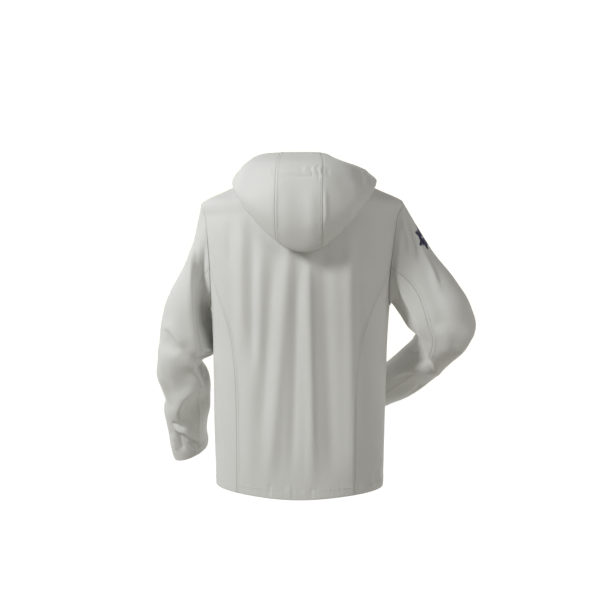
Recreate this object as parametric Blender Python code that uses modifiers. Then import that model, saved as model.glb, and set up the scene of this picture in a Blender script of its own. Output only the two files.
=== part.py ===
"""Hooded windbreaker, hollow and filled out as worn, hood down, left arm hanging and right arm bent.

Metres, +Z up. The wearer faces -Y, so +X is the wearer's left. The origin is the middle of the neck opening,
level with the points where the shoulder seams reach the neck. Sizes in the tables are millimetres.
"""

import math

import bmesh
import bpy
import numpy as np

MM = 0.001

# Driving dimensions, in millimetres
WALL = 1.5
SEAM_GAP = 0.3
HEM = -697.0
SHOULDER_POINT = -66.0
ARMPIT = -300.0
ARMHOLE_TURN_BEHIND = 17.0
ARMHOLE_TURN_AHEAD = 19.0
ARMHOLE_FULLNESS = 0.8
ARMHOLE_STEP = 15.0
SIDE_SEAMS_MEET_ARMHOLE = 105.0
SIDE_SEAM_BEHIND = ((-700, 37), (-560, 37), (-420, 35), (-330, 30), (-260, 22))
SIDE_SEAM_AHEAD = ((-700, -15), (-450, -15))
SHOULDER_SEAM_TURN = 7.0
SHOULDER_SEAM_STRAIGHT = -10.0
ZIP_WIDTH = 12.4
ZIP_SET_BACK = 0.4
COLLAR_STAND = 13.0
SLEEVE_CLEARANCE = 1.2
SLEEVE_RADIUS = 32.0

# Torso rings, hem to neck. Rises are the ring's height behind and ahead, less its height at the sides.
RING_COLUMNS = ("height", "half_width", "behind", "ahead", "rise_behind", "rise_ahead", "lean", "squareness")
TORSO_RINGS = (
    (-697, 187, 121, 132, -12, -7, 6.5, 2.3),
    (-600, 190, 120, 135, 0, 0, 7.0, 2.3),
    (-480, 193, 120, 138, 0, 0, 6.5, 2.3),
    (-350, 197, 125, 140, 0, 0, 5.5, 2.3),
    (-290, 201, 130, 140, 0, 0, 4.5, 2.35),
    (-220, 211, 134, 137, 0, 0, 2.0, 2.4),
    (-150, 220, 132, 127, 0, -6, 0.0, 2.4),
    (-105, 224, 124, 114, 4, -20, 0.0, 2.35),
    (-66, 222, 112, 100, 9, -36, 0.0, 2.3),
    (-44, 175, 98, 88, 12, -48, 0.0, 2.2),
    (-22, 126, 83, 77, 13, -56, 0.0, 2.1),
    (0, 76, 66, 68, 13, -62, 0.0, 2.0),
)

# Long soft folds. A ridge has a positive rise, a trough a negative one; each runs down a panel and fades at its ends.
FOLD_COLUMNS = ("x_top", "z_top", "x_bottom", "z_bottom", "spread", "rise")
BACK_FOLDS = (
    (14, -150, 60, -660, 15, 5.0),
    (-22, -200, -31, -670, 13, 4.5),
    (-2, -230, 12, -640, 11, -3.5),
    (-111, -140, -116, -670, 14, 5.0),
    (-55, -150, -74, -650, 17, -4.5),
    (-133, -160, -138, -600, 11, -2.0),
    (-149, -170, -152, -380, 13, 2.0),
    (122, -110, 120, -380, 13, 4.5),
    (151, -130, 146, -420, 13, -2.5),
    (97, -150, 100, -420, 11, -3.0),
    (76, -170, 84, -440, 11, 3.0),
    (50, -190, 78, -560, 13, -3.5),
    (105, -430, 104, -680, 18, 3.0),
)
FRONT_FOLDS = (
    (44, -150, 34, -660, 14, 4.0),
    (72, -170, 62, -640, 13, -3.5),
    (104, -140, 110, -560, 15, 4.5),
    (136, -180, 140, -520, 12, -3.0),
    (-40, -160, -48, -640, 14, 4.0),
    (-70, -150, -80, -660, 13, -3.5),
    (-108, -170, -104, -600, 15, 4.0),
    (-138, -200, -136, -480, 12, -3.0),
)

# Sleeve rings after the armhole. half_out is the half size towards the outer side of the arm, half_back across it,
# lean tips the ring's outer side up the arm.
STATION_COLUMNS = ("x", "y", "z", "half_out", "half_back", "lean")
LEFT_STATIONS = (
    (230, -2, -236, 74, 68, 56),
    (259, -10, -322, 61, 68, 12),
    (264, -12, -364, 64, 66, 2),
    (267, -11, -396, 63, 64, 0),
    (279, -10, -411, 53, 61, 0),
    (284, -14, -427, 49, 60, 0),
    (281, -26, -453, 58, 60, 0),
    (275, -41, -484, 57, 59, 0),
    (273, -54, -513, 52, 56, 0),
    (278, -68, -542, 54, 54, 0),
    (281, -80, -571, 49, 50, 0),
    (281, -90, -600, 45, 48, 0),
    (279, -100, -630, 45, 46, -5),
    (277, -107, -651, 43, 44, -14),
)
RIGHT_STATIONS = (
    (-245, 5, -236, 74, 68, 18),
    (-279, 14, -281, 72, 68, 4),
    (-305, 20, -324, 72, 67, 0),
    (-317, 17, -352, 66, 66, 0),
    (-312, 9, -371, 56, 64, 0),
    (-301, -5, -386, 47, 60, 0),
    (-289, -22, -400, 45, 58, 0),
    (-278, -41, -415, 46, 55, 0),
    (-263, -63, -432, 48, 53, 0),
    (-241, -92, -455, 49, 51, 0),
    (-216, -122, -477, 48, 49, 0),
    (-165, -178, -508, 44, 46, 0),
)
TANGENT_PASSES = 4
LEFT_BACK_SEAM_TURNS = (105, 122, 131, 140, 140, 141)
RIGHT_BACK_SEAM_TURNS = (105, 102, 120, 119, 118, 118)
FRONT_SEAM_TURNS = (255, 247, 244, 244, 244, 244)

# Hood, from the neckline to the edge round the face, at stations across it from the wearer's right to the left.
# across is -1 and 1 at the zip and 0 at the middle of the back. Each profile has the same named points.
HOOD_POINTS = ("turn", "under", "low", "fold", "belly", "crown", "brow", "edge")
HOOD_PLACES = (0, 0.045, 0.085, 0.24, 0.40, 0.50, 0.60, 0.74, 0.88, 1.0)
HOOD_STATIONS = (
    (-1.00, ((-6.8, -71, -44), (-6.8, -73, -40), (-6.8, -75, -35), (-6.8, -77, -31),
             (-6.8, -78, -27), (-6.8, -79, -23), (-6.8, -80, -19), (-6.8, -81, -14))),
    (-0.92, ((-42, -67, -33), (-50, -76, -37), (-60, -86, -42), (-69, -91, -44),
             (-76, -90, -35), (-77, -84, -25), (-74, -78, -16), (-68, -73, -9))),
    (-0.84, ((-66, -52, -24), (-76, -62, -30), (-88, -72, -38), (-98, -78, -42),
             (-106, -78, -34), (-108, -72, -26), (-106, -66, -18), (-102, -60, -12))),
    (-0.68, ((-88, -8, 8), (-108, -9, -8), (-134, -11, -20), (-148, -12, -36),
             (-153, -12, -28), (-150, -12, -14), (-144, -10, -5), (-134, -8, 1))),
    (-0.52, ((-84, 32, 16), (-106, 44, -8), (-136, 62, -40), (-150, 76, -64),
             (-160, 76, -48), (-149, 66, -23), (-133, 50, -2), (-113, 34, 10))),
    (-0.36, ((-68, 60, 20), (-90, 92, -22), (-108, 118, -74), (-119, 138, -112),
             (-130, 144, -84), (-126, 132, -38), (-110, 104, 4), (-80, 66, 21))),
    (-0.18, ((-38, 78, 22), (-50, 120, -46), (-58, 142, -124), (-63, 158, -168),
             (-66, 180, -126), (-66, 176, -52), (-63, 142, 6), (-52, 80, 33))),
    (0.00, ((0, 83, 22), (-3, 126, -54), (-6, 144, -136), (-8, 160, -182),
            (-8, 184, -134), (-8, 182, -56), (-7, 150, 6), (-4, 84, 35))),
    (0.18, ((38, 78, 22), (44, 120, -46), (47, 142, -112), (48, 158, -155),
            (50, 180, -118), (50, 176, -52), (49, 142, 8), (46, 80, 35))),
    (0.36, ((68, 60, 20), (86, 92, -20), (98, 118, -62), (106, 138, -94),
            (117, 144, -72), (118, 132, -34), (105, 104, 10), (86, 66, 33))),
    (0.52, ((84, 32, 16), (102, 44, -6), (122, 62, -32), (137, 76, -54),
            (143, 76, -40), (135, 66, -13), (122, 50, 11), (108, 34, 26))),
    (0.68, ((88, -8, 8), (106, -9, -6), (128, -11, -18), (146, -12, -32),
            (147, -12, -24), (144, -12, -8), (137, -10, 5), (126, -8, 13))),
    (0.84, ((66, -52, -24), (76, -62, -30), (88, -72, -38), (98, -78, -42),
            (106, -78, -34), (108, -72, -26), (106, -66, -18), (102, -60, -12))),
    (0.92, ((42, -67, -33), (50, -76, -37), (60, -86, -42), (69, -91, -44),
            (76, -90, -35), (77, -84, -25), (74, -78, -16), (68, -73, -9))),
    (1.00, ((6.8, -71, -44), (6.8, -73, -40), (6.8, -75, -35), (6.8, -77, -31),
            (6.8, -78, -27), (6.8, -79, -23), (6.8, -80, -19), (6.8, -81, -14))),
)
HOOD_SEAM_ACROSS = 0.155
HOOD_MOST_SPEED = 1.3

# Where the hood is sewn to the neckline, and how far it stays clear of the torso
NECKLINE_ACROSS = (0, 0.18, 0.36, 0.52, 0.68, 0.84, 0.92, 1.0)
NECKLINE_TURNS = (90, 62.7, 38.4, 20, -4.5, -36, -60, -84.6)
HOOD_CLEARANCE = 6.0
HOOD_LEAST_CLEARANCE = 3.0

# Slider and pull: x across the zip, y up it, z out of the cloth
SLIDER_SIZE = (8.4, 11.0, 2.6)
SLIDER_BELOW_EDGE = 11.0
BRIDGE_RADIUS = 0.7
BRIDGE_HALF_LENGTH = 3.4
BRIDGE_CLEAR = 3.2
PULL_SIZE = (6.6, 30.0, 1.5)
PULL_EYE = (3.6, 4.7)
PULL_BAR = 1.5

# Numbers of cells
BACK_ACROSS = 28
FRONT_ACROSS = 11
HEM_TO_ARMHOLE = 11
SHOULDER_ROWS = 4
SLEEVE_RUNS = ((0.0, 0.34, 8), (0.34, 0.66, 13), (0.66, 1.0, 6))
HOOD_SIDE_ACROSS = 12
HOOD_CENTRE_ACROSS = 4
HOOD_RUNS = ((0.0, 0.12, 6), (0.12, 0.42, 6), (0.42, 0.60, 7), (0.60, 1.0, 6))

# Half the span over which a wall's direction is taken: degrees round and millimetres or shares along
TORSO_SPAN = (2.0, 4.0)
SLEEVE_SPAN = (7.0, 0.012)
HOOD_SPAN = (0.03, 0.010)

COLOURS = {
    "shell": ((0.66, 0.66, 0.63, 1.0), 0.72, 0.0),
    "zip": ((0.60, 0.60, 0.57, 1.0), 0.55, 0.0),
    "metal": ((0.55, 0.55, 0.54, 1.0), 0.35, 1.0),
}


def smooth(knots, values, at):
    """A cubic curve through the values, whose slope at each knot comes from its neighbours."""
    knots, values, at = np.asarray(knots, float), np.asarray(values, float), np.asarray(at, float)
    slopes = np.gradient(values, knots, axis=0)
    i = np.clip(np.searchsorted(knots, at, side="right") - 1, 0, len(knots) - 2)
    span = knots[i + 1] - knots[i]
    t = (at - knots[i]) / span
    if values.ndim > 1:
        span, t = span[..., None], t[..., None]
    return (
        values[i] * (1 + 2 * t) * (1 - t) ** 2
        + values[i + 1] * t**2 * (3 - 2 * t)
        + slopes[i] * span * t * (1 - t) ** 2
        - slopes[i + 1] * span * t**2 * (1 - t)
    )


def ease(value, start, end):
    """0 before start, 1 after end, with a smooth rise between."""
    t = np.clip((value - start) / (end - start), 0, 1)
    return t * t * (3 - 2 * t)


def unit(vectors):
    """The vectors with their length made 1."""
    return vectors / np.maximum(np.linalg.norm(vectors, axis=-1, keepdims=True), 1e-9)


def column(table, columns, name):
    """One named column of a table."""
    return np.array([row[columns.index(name)] for row in table], float)


def runs(table):
    """Values in even steps along each (start, end, cells) run of a table."""
    return np.concatenate([[table[0][0]], *(np.linspace(start, end, cells + 1)[1:] for start, end, cells in table)])


def normal_field(surface, u, v, span, ends=(-np.inf, np.inf)):
    """The unit normals of surface(u, v), from its slopes over the span to each side, v kept between the ends."""
    along_u = surface(u + span[0], v) - surface(u - span[0], v)
    along_v = surface(u, np.minimum(v + span[1], ends[1])) - surface(u, np.maximum(v - span[1], ends[0]))
    return unit(np.cross(along_u, along_v))


# Torso

def torso_rings(turn, height):
    """The smooth torso: turn in degrees from the wearer's left side towards the back, height at the sides."""
    rings = {name: smooth(column(TORSO_RINGS, RING_COLUMNS, "height"), column(TORSO_RINGS, RING_COLUMNS, name), height)
             for name in RING_COLUMNS[1:]}
    cosine, sine = np.cos(np.radians(turn)), np.sin(np.radians(turn))
    depth = np.where(sine > 0, rings["behind"], rings["ahead"])
    power = rings["squareness"]
    reach = ((np.abs(cosine) / rings["half_width"]) ** power + (np.abs(sine) / depth) ** power) ** (-1 / power)
    rise = np.where(sine > 0, rings["rise_behind"], rings["rise_ahead"]) * sine**2
    return np.stack([rings["lean"] + reach * cosine, reach * sine, height + rise], axis=-1)


def fold_rise(points, folds, end_fade=70.0):
    """How far the folds lift each point off the smooth surface."""
    x, z = points[..., 0], points[..., 2]
    lift = np.zeros(x.shape)
    for row in folds:
        fold = dict(zip(FOLD_COLUMNS, row))
        top, bottom = fold["z_top"], fold["z_bottom"]
        middle = fold["x_top"] + (fold["x_bottom"] - fold["x_top"]) * (z - top) / (bottom - top)
        fade = ease(z, bottom - end_fade / 2, bottom + end_fade) * (1 - ease(z, top - end_fade, top + end_fade / 2))
        lift += fold["rise"] * fade * np.exp(-(((x - middle) / fold["spread"]) ** 2))
    return lift


def torso(turn, height):
    """The torso's outer face with its folds."""
    turn, height = np.broadcast_arrays(np.asarray(turn, float), np.asarray(height, float))
    points = torso_rings(turn, height)
    outward = normal_field(torso_rings, turn, height, (0.5, 1.0))
    behind = ease(points[..., 1], 10, 60)
    ahead = ease(-points[..., 1], 10, 60)
    lift = behind * fold_rise(points, BACK_FOLDS) + ahead * fold_rise(points, FRONT_FOLDS)
    return points + outward * lift[..., None]


def armhole(around):
    """Turn and height of the armhole's edge: around is 0 at the shoulder, 90 behind, 180 at the armpit."""
    radians = np.radians(around)
    middle, half = (SHOULDER_POINT + ARMPIT) / 2, (SHOULDER_POINT - ARMPIT) / 2
    behind = np.sin(radians) >= 0
    widest = np.where(behind, ARMHOLE_TURN_BEHIND, -ARMHOLE_TURN_AHEAD)
    return widest * np.abs(np.sin(radians)) ** ARMHOLE_FULLNESS, middle + half * np.cos(radians)


def gap_turn(height):
    """Half a seam's gap as an angle round the body, with a sixth more for the slant of the seams."""
    heights = column(TORSO_RINGS, RING_COLUMNS, "height")
    half_width = smooth(heights, column(TORSO_RINGS, RING_COLUMNS, "half_width"), height)
    return np.degrees(SEAM_GAP * 7 / 12 / half_width)


def panel_rows(ahead):
    """Heights of a panel's rows from hem to neck, and the turn of its outer edge at each."""
    sign = -1 if ahead else 1
    meets_turn, meets = armhole(sign * SIDE_SEAMS_MEET_ARMHOLE)
    below = np.linspace(HEM, meets, HEM_TO_ARMHOLE + 1)[:-1]
    seam = SIDE_SEAM_AHEAD if ahead else SIDE_SEAM_BEHIND
    seam_heights, seam_turns = zip(*seam, (meets, meets_turn))
    below_turns = smooth(seam_heights, seam_turns, below)
    steps = np.arange(SIDE_SEAMS_MEET_ARMHOLE, -ARMHOLE_STEP / 2, -ARMHOLE_STEP)
    hole_turns, hole = armhole(sign * steps)
    above = np.linspace(SHOULDER_POINT, 0, SHOULDER_ROWS + 1)[1:]
    above_turns = SHOULDER_SEAM_TURN * ease(above, SHOULDER_POINT, SHOULDER_SEAM_STRAIGHT)
    heights = np.concatenate([below, hole, above])
    turns = np.concatenate([below_turns, hole_turns, above_turns])
    return heights, turns


def torso_normals(turn, height):
    """The directions straight out of the torso's face."""
    return normal_field(torso, turn, height, TORSO_SPAN, (TORSO_RINGS[0][0], TORSO_RINGS[-1][0]))


def way_out_of_torso(points, reach=0.5):
    """How far each point lies outside the torso's face, and the way that leads straight out."""
    def level(at):
        height = at[..., 2]
        heights = column(TORSO_RINGS, RING_COLUMNS, "height")
        for _ in range(4):
            height = np.clip(height, HEM, 0)
            lean = smooth(heights, column(TORSO_RINGS, RING_COLUMNS, "lean"), height)
            turn = np.degrees(np.arctan2(at[..., 1], at[..., 0] - lean))
            face = torso(turn, height)
            height = height + at[..., 2] - face[..., 2]
        return np.hypot(at[..., 0] - lean, at[..., 1]) - np.hypot(face[..., 0] - lean, face[..., 1])

    steps = np.eye(3) * reach
    slope = np.stack([level(points + step) - level(points - step) for step in steps], axis=-1) / (2 * reach)
    steepness = np.maximum(np.linalg.norm(slope, axis=-1), 1e-6)
    return level(points) / steepness, slope / steepness[..., None]


def clear_of_torso(points, clearance):
    """The points, pushed straight out where they lie nearer the torso than the clearance."""
    for _ in range(3):
        outside, way = way_out_of_torso(points)
        points = points + way * np.maximum(clearance - outside, 0)[..., None]
    return points


# Sleeves

def armhole_loop(side, around):
    """Points of the torso on the armhole's edge."""
    turn, height = armhole(around)
    return torso(turn if side > 0 else 180.0 - turn, height)


def onto_panel(side, around):
    """At the armhole's edge, the direction that lies in the torso's face and points from the hole onto it."""
    turn, height = armhole(around)
    outward = torso_normals(turn if side > 0 else 180.0 - turn, height)
    across = unit(np.cross(outward, armhole_loop(side, around + 1.0) - armhole_loop(side, around - 1.0)))
    centre = armhole_loop(side, np.arange(0, 360, 30.0)).mean(axis=0)
    return across * np.sign(np.sum(across * (armhole_loop(side, around) - centre), axis=-1))[..., None]


def carried_frames(centres, first_out):
    """Axes carried down the sleeve without twist: tangents, and the direction of each ring's outer side."""
    tangents = unit(np.gradient(centres, axis=0))
    for _ in range(TANGENT_PASSES):
        tangents[1:-1] = unit(tangents[:-2] + 2 * tangents[1:-1] + tangents[2:])
    outs = [unit(first_out - tangents[0] * (first_out @ tangents[0]))]
    for before, now in zip(tangents[:-1], tangents[1:]):
        out = outs[-1]
        axis = np.cross(before, now)
        sine, cosine = np.linalg.norm(axis), before @ now
        if sine > 1e-9:
            axis = axis / sine
            out = out * cosine + np.cross(axis, out) * sine + axis * (axis @ out) * (1 - cosine)
        outs.append(unit(out - now * (out @ now)))
    return tangents, np.array(outs)


def sleeve_rings(side, around):
    """Points of every ring at the angles around, and the rings' places along the sleeve."""
    table = LEFT_STATIONS if side > 0 else RIGHT_STATIONS
    centres = np.stack([column(table, STATION_COLUMNS, axis) for axis in "xyz"], axis=-1)
    start = armhole_loop(side, np.arange(0, 360, 30.0)).mean(axis=0)
    tangents, outs = carried_frames(np.vstack([start, centres]), np.array([side * 0.9, 0.0, 0.4]))
    tangents, outs = tangents[1:], outs[1:]
    backs = np.cross(outs, tangents) * side
    lean = np.radians(column(table, STATION_COLUMNS, "lean"))[:, None]
    outs = outs * np.cos(lean) - tangents * np.sin(lean)
    radians = np.radians(around)[..., None, None]
    rings = (
        centres
        + outs * column(table, STATION_COLUMNS, "half_out")[:, None] * np.cos(radians)
        + backs * column(table, STATION_COLUMNS, "half_back")[:, None] * np.sin(radians)
    )
    first = armhole_loop(side, around) - SEAM_GAP * onto_panel(side, around)
    rings = np.concatenate([first[..., None, :], rings], axis=-2)
    steps = np.linalg.norm(np.diff(np.vstack([start, centres]), axis=0), axis=1)
    return rings, np.concatenate([[0], np.cumsum(steps)]) / steps.sum()


def along_lines(lines, places, at, most_speed=np.inf):
    """Points at the places given by at, on smooth curves through the lines' points.

    A curve's slope at a point is kept under most_speed times that of the slower of the two steps beside it.
    """
    slopes = np.gradient(lines, places, axis=-2)
    steps = np.linalg.norm(np.diff(lines, axis=-2), axis=-1) / np.diff(places)
    most = most_speed * np.minimum(steps[..., :-1], steps[..., 1:])
    inner = slopes[..., 1:-1, :]
    slopes[..., 1:-1, :] = unit(inner) * np.minimum(np.linalg.norm(inner, axis=-1), most)[..., None]
    i = np.clip(np.searchsorted(places, at, side="right") - 1, 0, len(places) - 2)
    span = (places[i + 1] - places[i])[..., None]
    t = (at[..., None] - places[i][..., None]) / span

    def take(array, index):
        return np.take_along_axis(array, index[..., None, None], axis=-2)[..., 0, :]

    return (
        take(lines, i) * (1 + 2 * t) * (1 - t) ** 2
        + take(lines, i + 1) * t**2 * (3 - 2 * t)
        + take(slopes, i) * span * t * (1 - t) ** 2
        - take(slopes, i + 1) * span * t**2 * (1 - t)
    )


def sleeve(side, around, along):
    """The sleeve's outer face: around in degrees, along from 0 at the armhole to 1 at the cuff."""
    around, along = np.broadcast_arrays(np.asarray(around, float), np.asarray(along, float))
    rings, places = sleeve_rings(side, around)
    return along_lines(rings, places, along)


def sleeve_wall(side, around, along):
    """The sleeve's two skins. At the armhole the inner one stays on the hole's side of the torso's edge."""
    def surface(u, v):
        return sleeve(side, u, v)

    outer = surface(around, along)
    near = ease(along, 0.0, 0.06) * (1 - ease(along, 0.6, 0.7))
    outer = outer + (clear_of_torso(outer, SLEEVE_CLEARANCE) - outer) * near[..., None]
    outward = -side * normal_field(surface, around, along, SLEEVE_SPAN, (0, 1))
    panel = onto_panel(side, around[0])
    towards = np.minimum(np.sum(outward[0] * panel, axis=-1), 0)[:, None]
    outward[0] = unit(outward[0] - panel * towards)
    return outer, outer - WALL * outward


# Hood

def neckline_turn(across):
    """The turn on the torso's neck ring that a place across the hood is sewn to."""
    turn = smooth(NECKLINE_ACROSS, NECKLINE_TURNS, np.abs(across))
    return np.where(across >= 0, turn, 180 - turn)


def hood(across, up):
    """The hood's outer face: across from -1 to 1, up from 0 at the neckline to 1 at the edge round the face."""
    across, up = np.broadcast_arrays(np.asarray(across, float), np.asarray(up, float))
    knots = np.array([row[0] for row in HOOD_STATIONS])
    profiles = np.array([row[1] for row in HOOD_STATIONS], float)
    lines = smooth(knots, profiles.reshape(len(knots), -1), across).reshape(*across.shape, len(HOOD_POINTS), 3)
    sewn = torso(neckline_turn(across), np.zeros(across.shape))
    inward = unit(sewn * (-1, -1, 0))
    neck = sewn + inward * (WALL / 2 + SEAM_GAP)
    stand = neck + (0, 0, COLLAR_STAND) + inward * (0.5, 0.5, 0)
    lines = np.concatenate([neck[..., None, :], stand[..., None, :], lines], axis=-2)
    return along_lines(lines, np.array(HOOD_PLACES), up, HOOD_MOST_SPEED)


# Meshes

def material(name):
    """The named finish as a Principled BSDF."""
    made = bpy.data.materials.get(name)
    if made is None:
        colour, roughness, metallic = COLOURS[name]
        made = bpy.data.materials.new(name)
        made.use_nodes = True
        shader = made.node_tree.nodes["Principled BSDF"]
        shader.inputs["Base Color"].default_value = colour
        shader.inputs["Roughness"].default_value = roughness
        shader.inputs["Metallic"].default_value = metallic
    return made


def add_object(name, mesh, finish, collection):
    """Names a mesh's object, gives it its finish and links it."""
    made = bpy.data.objects.new(name, mesh)
    mesh.materials.append(material(finish))
    collection.objects.link(made)
    return made


def loft_wall(name, skins, collection, finish="shell"):
    """A closed cloth wall lofted from two skins of points, both split along the same diagonals."""
    rows, columns = skins[0].shape[:2]
    index = np.arange(rows * columns).reshape(rows, columns)
    a, b, c, d = index[:-1, :-1], index[:-1, 1:], index[1:, 1:], index[1:, :-1]
    cells = np.concatenate([np.stack(corners, axis=-1).reshape(-1, 3) for corners in ((a, b, c), (a, c, d))])
    rim = np.concatenate([index[0, :-1], index[:-1, -1], index[-1, :0:-1], index[:0:-1, 0]])
    ahead = np.roll(rim, -1)
    edge = [np.stack(corners, axis=-1) for corners in
            ((ahead, rim, rim + index.size), (ahead, rim + index.size, ahead + index.size))]
    faces = np.concatenate([cells, cells[:, ::-1] + index.size, *edge])
    points = np.concatenate([skin.reshape(-1, 3) for skin in skins]) * MM
    mesh = bpy.data.meshes.new(name)
    mesh.from_pydata(points.tolist(), [], faces.tolist())
    tidy = bmesh.new()
    tidy.from_mesh(mesh)
    bmesh.ops.recalc_face_normals(tidy, faces=tidy.faces)
    tidy.to_mesh(mesh)
    tidy.free()
    mesh.shade_smooth()
    mesh.set_sharp_from_angle(angle=math.radians(50))
    return add_object(name, mesh, finish, collection)


def between(edge_a, edge_b, cells):
    """Rows of angles from one edge to the other."""
    share = np.linspace(0, 1, cells + 1)
    return edge_a[:, None] + (edge_b - edge_a)[:, None] * share


def torso_panel(name, turns, heights, mirrored, collection):
    """One panel of the torso on a grid of turns and heights."""
    heights = np.broadcast_to(heights, turns.shape)
    turns = 180 - turns if mirrored else turns
    outer = torso(turns, heights)
    loft_wall(name, (outer, outer - WALL * torso_normals(turns, heights)), collection)


def make_back(collection):
    """The back panel."""
    heights, edge = panel_rows(ahead=False)
    edge = edge + gap_turn(heights)
    torso_panel("back", between(edge, 180 - edge, BACK_ACROSS), heights[:, None], False, collection)


def make_fronts(collection):
    """The two fronts, from the zip to the side seam, armhole and shoulder seam."""
    heights, edge = panel_rows(ahead=True)
    ahead = smooth(column(TORSO_RINGS, RING_COLUMNS, "height"), column(TORSO_RINGS, RING_COLUMNS, "ahead"), heights)
    zip_edge = -90 + np.degrees(np.arcsin((ZIP_WIDTH / 2 + SEAM_GAP) / ahead))
    turns = between(edge - gap_turn(heights), zip_edge, FRONT_ACROSS)
    for name, mirrored in (("front_left", False), ("front_right", True)):
        torso_panel(name, turns, heights[:, None], mirrored, collection)


def make_sides(collection):
    """The two side panels, whose top edge is the bottom of the armhole."""
    around = np.arange(SIDE_SEAMS_MEET_ARMHOLE, 360 - SIDE_SEAMS_MEET_ARMHOLE + 1, ARMHOLE_STEP)
    top_turns, top = armhole(around)
    rise = np.linspace(0, 1, HEM_TO_ARMHOLE + 1)[:, None]
    heights = HEM + (top - HEM) * rise
    back = panel_rows(ahead=False)[1][:HEM_TO_ARMHOLE + 1] - gap_turn(heights[:, 0])
    front = panel_rows(ahead=True)[1][:HEM_TO_ARMHOLE + 1] + gap_turn(heights[:, 0])
    top_share = (top_turns[0] - top_turns) / (top_turns[0] - top_turns[-1])
    even_share = np.linspace(0, 1, len(around))
    share = even_share + (top_share - even_share) * ease(rise, 0.3, 1.0)
    turns = back[:, None] + (front - back)[:, None] * share
    for name, mirrored in (("side_left", False), ("side_right", True)):
        torso_panel(name, turns, heights, mirrored, collection)


def make_sleeves(collection):
    """Both sleeves, each a top and an under piece that meet at a back seam and a front seam."""
    along = runs(SLEEVE_RUNS)
    front_seam = smooth(np.linspace(0, 1, len(FRONT_SEAM_TURNS)), FRONT_SEAM_TURNS, along)
    gap = np.degrees(SEAM_GAP / 2 / SLEEVE_RADIUS)
    top_cells = round(2 * SIDE_SEAMS_MEET_ARMHOLE / ARMHOLE_STEP)
    under_cells = round((360 - 2 * SIDE_SEAMS_MEET_ARMHOLE) / ARMHOLE_STEP)
    for side, word, back_turns in ((1, "left", LEFT_BACK_SEAM_TURNS), (-1, "right", RIGHT_BACK_SEAM_TURNS)):
        back_seam = smooth(np.linspace(0, 1, len(back_turns)), back_turns, along)
        pieces = (
            ("top", front_seam - 360 + gap, back_seam - gap, top_cells),
            ("under", back_seam + gap, front_seam - gap, under_cells),
        )
        for piece, start, end, cells in pieces:
            around = between(start, end, cells)
            levels = np.broadcast_to(along[:, None], around.shape)
            loft_wall(f"sleeve_{word}_{piece}", sleeve_wall(side, around, levels), collection)


def make_hood(collection):
    """The three-piece hood, down on the back."""
    up = runs(HOOD_RUNS)
    gap = 0.0016
    pieces = (
        ("hood_right", -1.0, -HOOD_SEAM_ACROSS - gap, HOOD_SIDE_ACROSS),
        ("hood_centre", -HOOD_SEAM_ACROSS, HOOD_SEAM_ACROSS, HOOD_CENTRE_ACROSS),
        ("hood_left", HOOD_SEAM_ACROSS + gap, 1.0, HOOD_SIDE_ACROSS),
    )
    for name, start, end, cells in pieces:
        across = np.broadcast_to(np.linspace(start, end, cells + 1), (len(up), cells + 1))
        levels = np.broadcast_to(up[:, None], across.shape)
        outer = hood(across, levels)
        inner = outer + WALL * normal_field(hood, across, levels, HOOD_SPAN, (0, 1))
        lift = (ease(levels, 0.06, 0.24) * (1 - ease(np.abs(across), 0.9, 1.0)))[..., None]
        push = (clear_of_torso(outer, HOOD_CLEARANCE) - outer) * lift
        worst = np.argmax(np.linalg.norm(push, axis=-1), axis=0)
        carry = push[worst, np.arange(cells + 1)] * lift * (1 - 0.75 * ease(levels, 0.55, 0.85))[..., None]
        outer, inner = outer + carry, inner + carry
        for skin in (outer, inner):
            push = (clear_of_torso(skin, HOOD_LEAST_CLEARANCE) - skin) * lift
            outer, inner = outer + push, inner + push
        loft_wall(name, (outer, inner), collection)


def zip_line():
    """The zip's middle line from hem to hood edge, and the direction out of the cloth at each point."""
    heights = panel_rows(ahead=True)[0]
    body = torso(np.full(len(heights), -90.0), heights)
    collar = np.array(HOOD_STATIONS[-1][1], float)
    collar[:, 0] = body[-1, 0]
    line = np.vstack([body, collar[::2], collar[-1:]])
    along = unit(np.gradient(line, axis=0))
    return line, np.stack([np.zeros(len(line)), -along[:, 2], along[:, 1]], axis=-1)


def make_zip(collection):
    """The closed zip's chain and tape, as one strip between the fronts."""
    line, out = zip_line()
    line = line - out * ZIP_SET_BACK
    half = np.array([ZIP_WIDTH / 2, 0, 0])
    outer = np.stack([line - half, line, line + half], axis=1)
    loft_wall("zip_chain", (outer, outer - WALL * out[:, None]), collection, "zip")


def slider_frame():
    """The slider's middle on the zip, and the directions up the zip and out of it."""
    line, out = zip_line()
    from_edge = np.concatenate([[0], np.cumsum(np.linalg.norm(np.diff(line[::-1], axis=0), axis=1))])[::-1]
    middle = np.array([np.interp(-SLIDER_BELOW_EDGE, -from_edge, line[:, i]) for i in range(3)])
    outward = unit(np.array([np.interp(-SLIDER_BELOW_EDGE, -from_edge, out[:, i]) for i in range(3)]))
    upward = np.cross(outward, (1.0, 0.0, 0.0))
    lift = SLIDER_SIZE[2] / 2 + SEAM_GAP - ZIP_SET_BACK
    return middle + outward * lift, upward, outward


def mesh_from_curve(curve, collection):
    """A mesh object in place of a curve object, with its caps welded on."""
    bpy.context.view_layer.update()
    graph = bpy.context.evaluated_depsgraph_get()
    mesh = bpy.data.meshes.new_from_object(curve.evaluated_get(graph))
    work = bmesh.new()
    work.from_mesh(mesh)
    bmesh.ops.remove_doubles(work, verts=work.verts, dist=0.00001)
    bmesh.ops.recalc_face_normals(work, faces=work.faces)
    work.to_mesh(mesh)
    work.free()
    made = bpy.data.objects.new(curve.name + "_mesh", mesh)
    made.matrix_world = curve.matrix_world.copy()
    bpy.data.objects.remove(curve)
    collection.objects.link(made)
    return made


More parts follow.
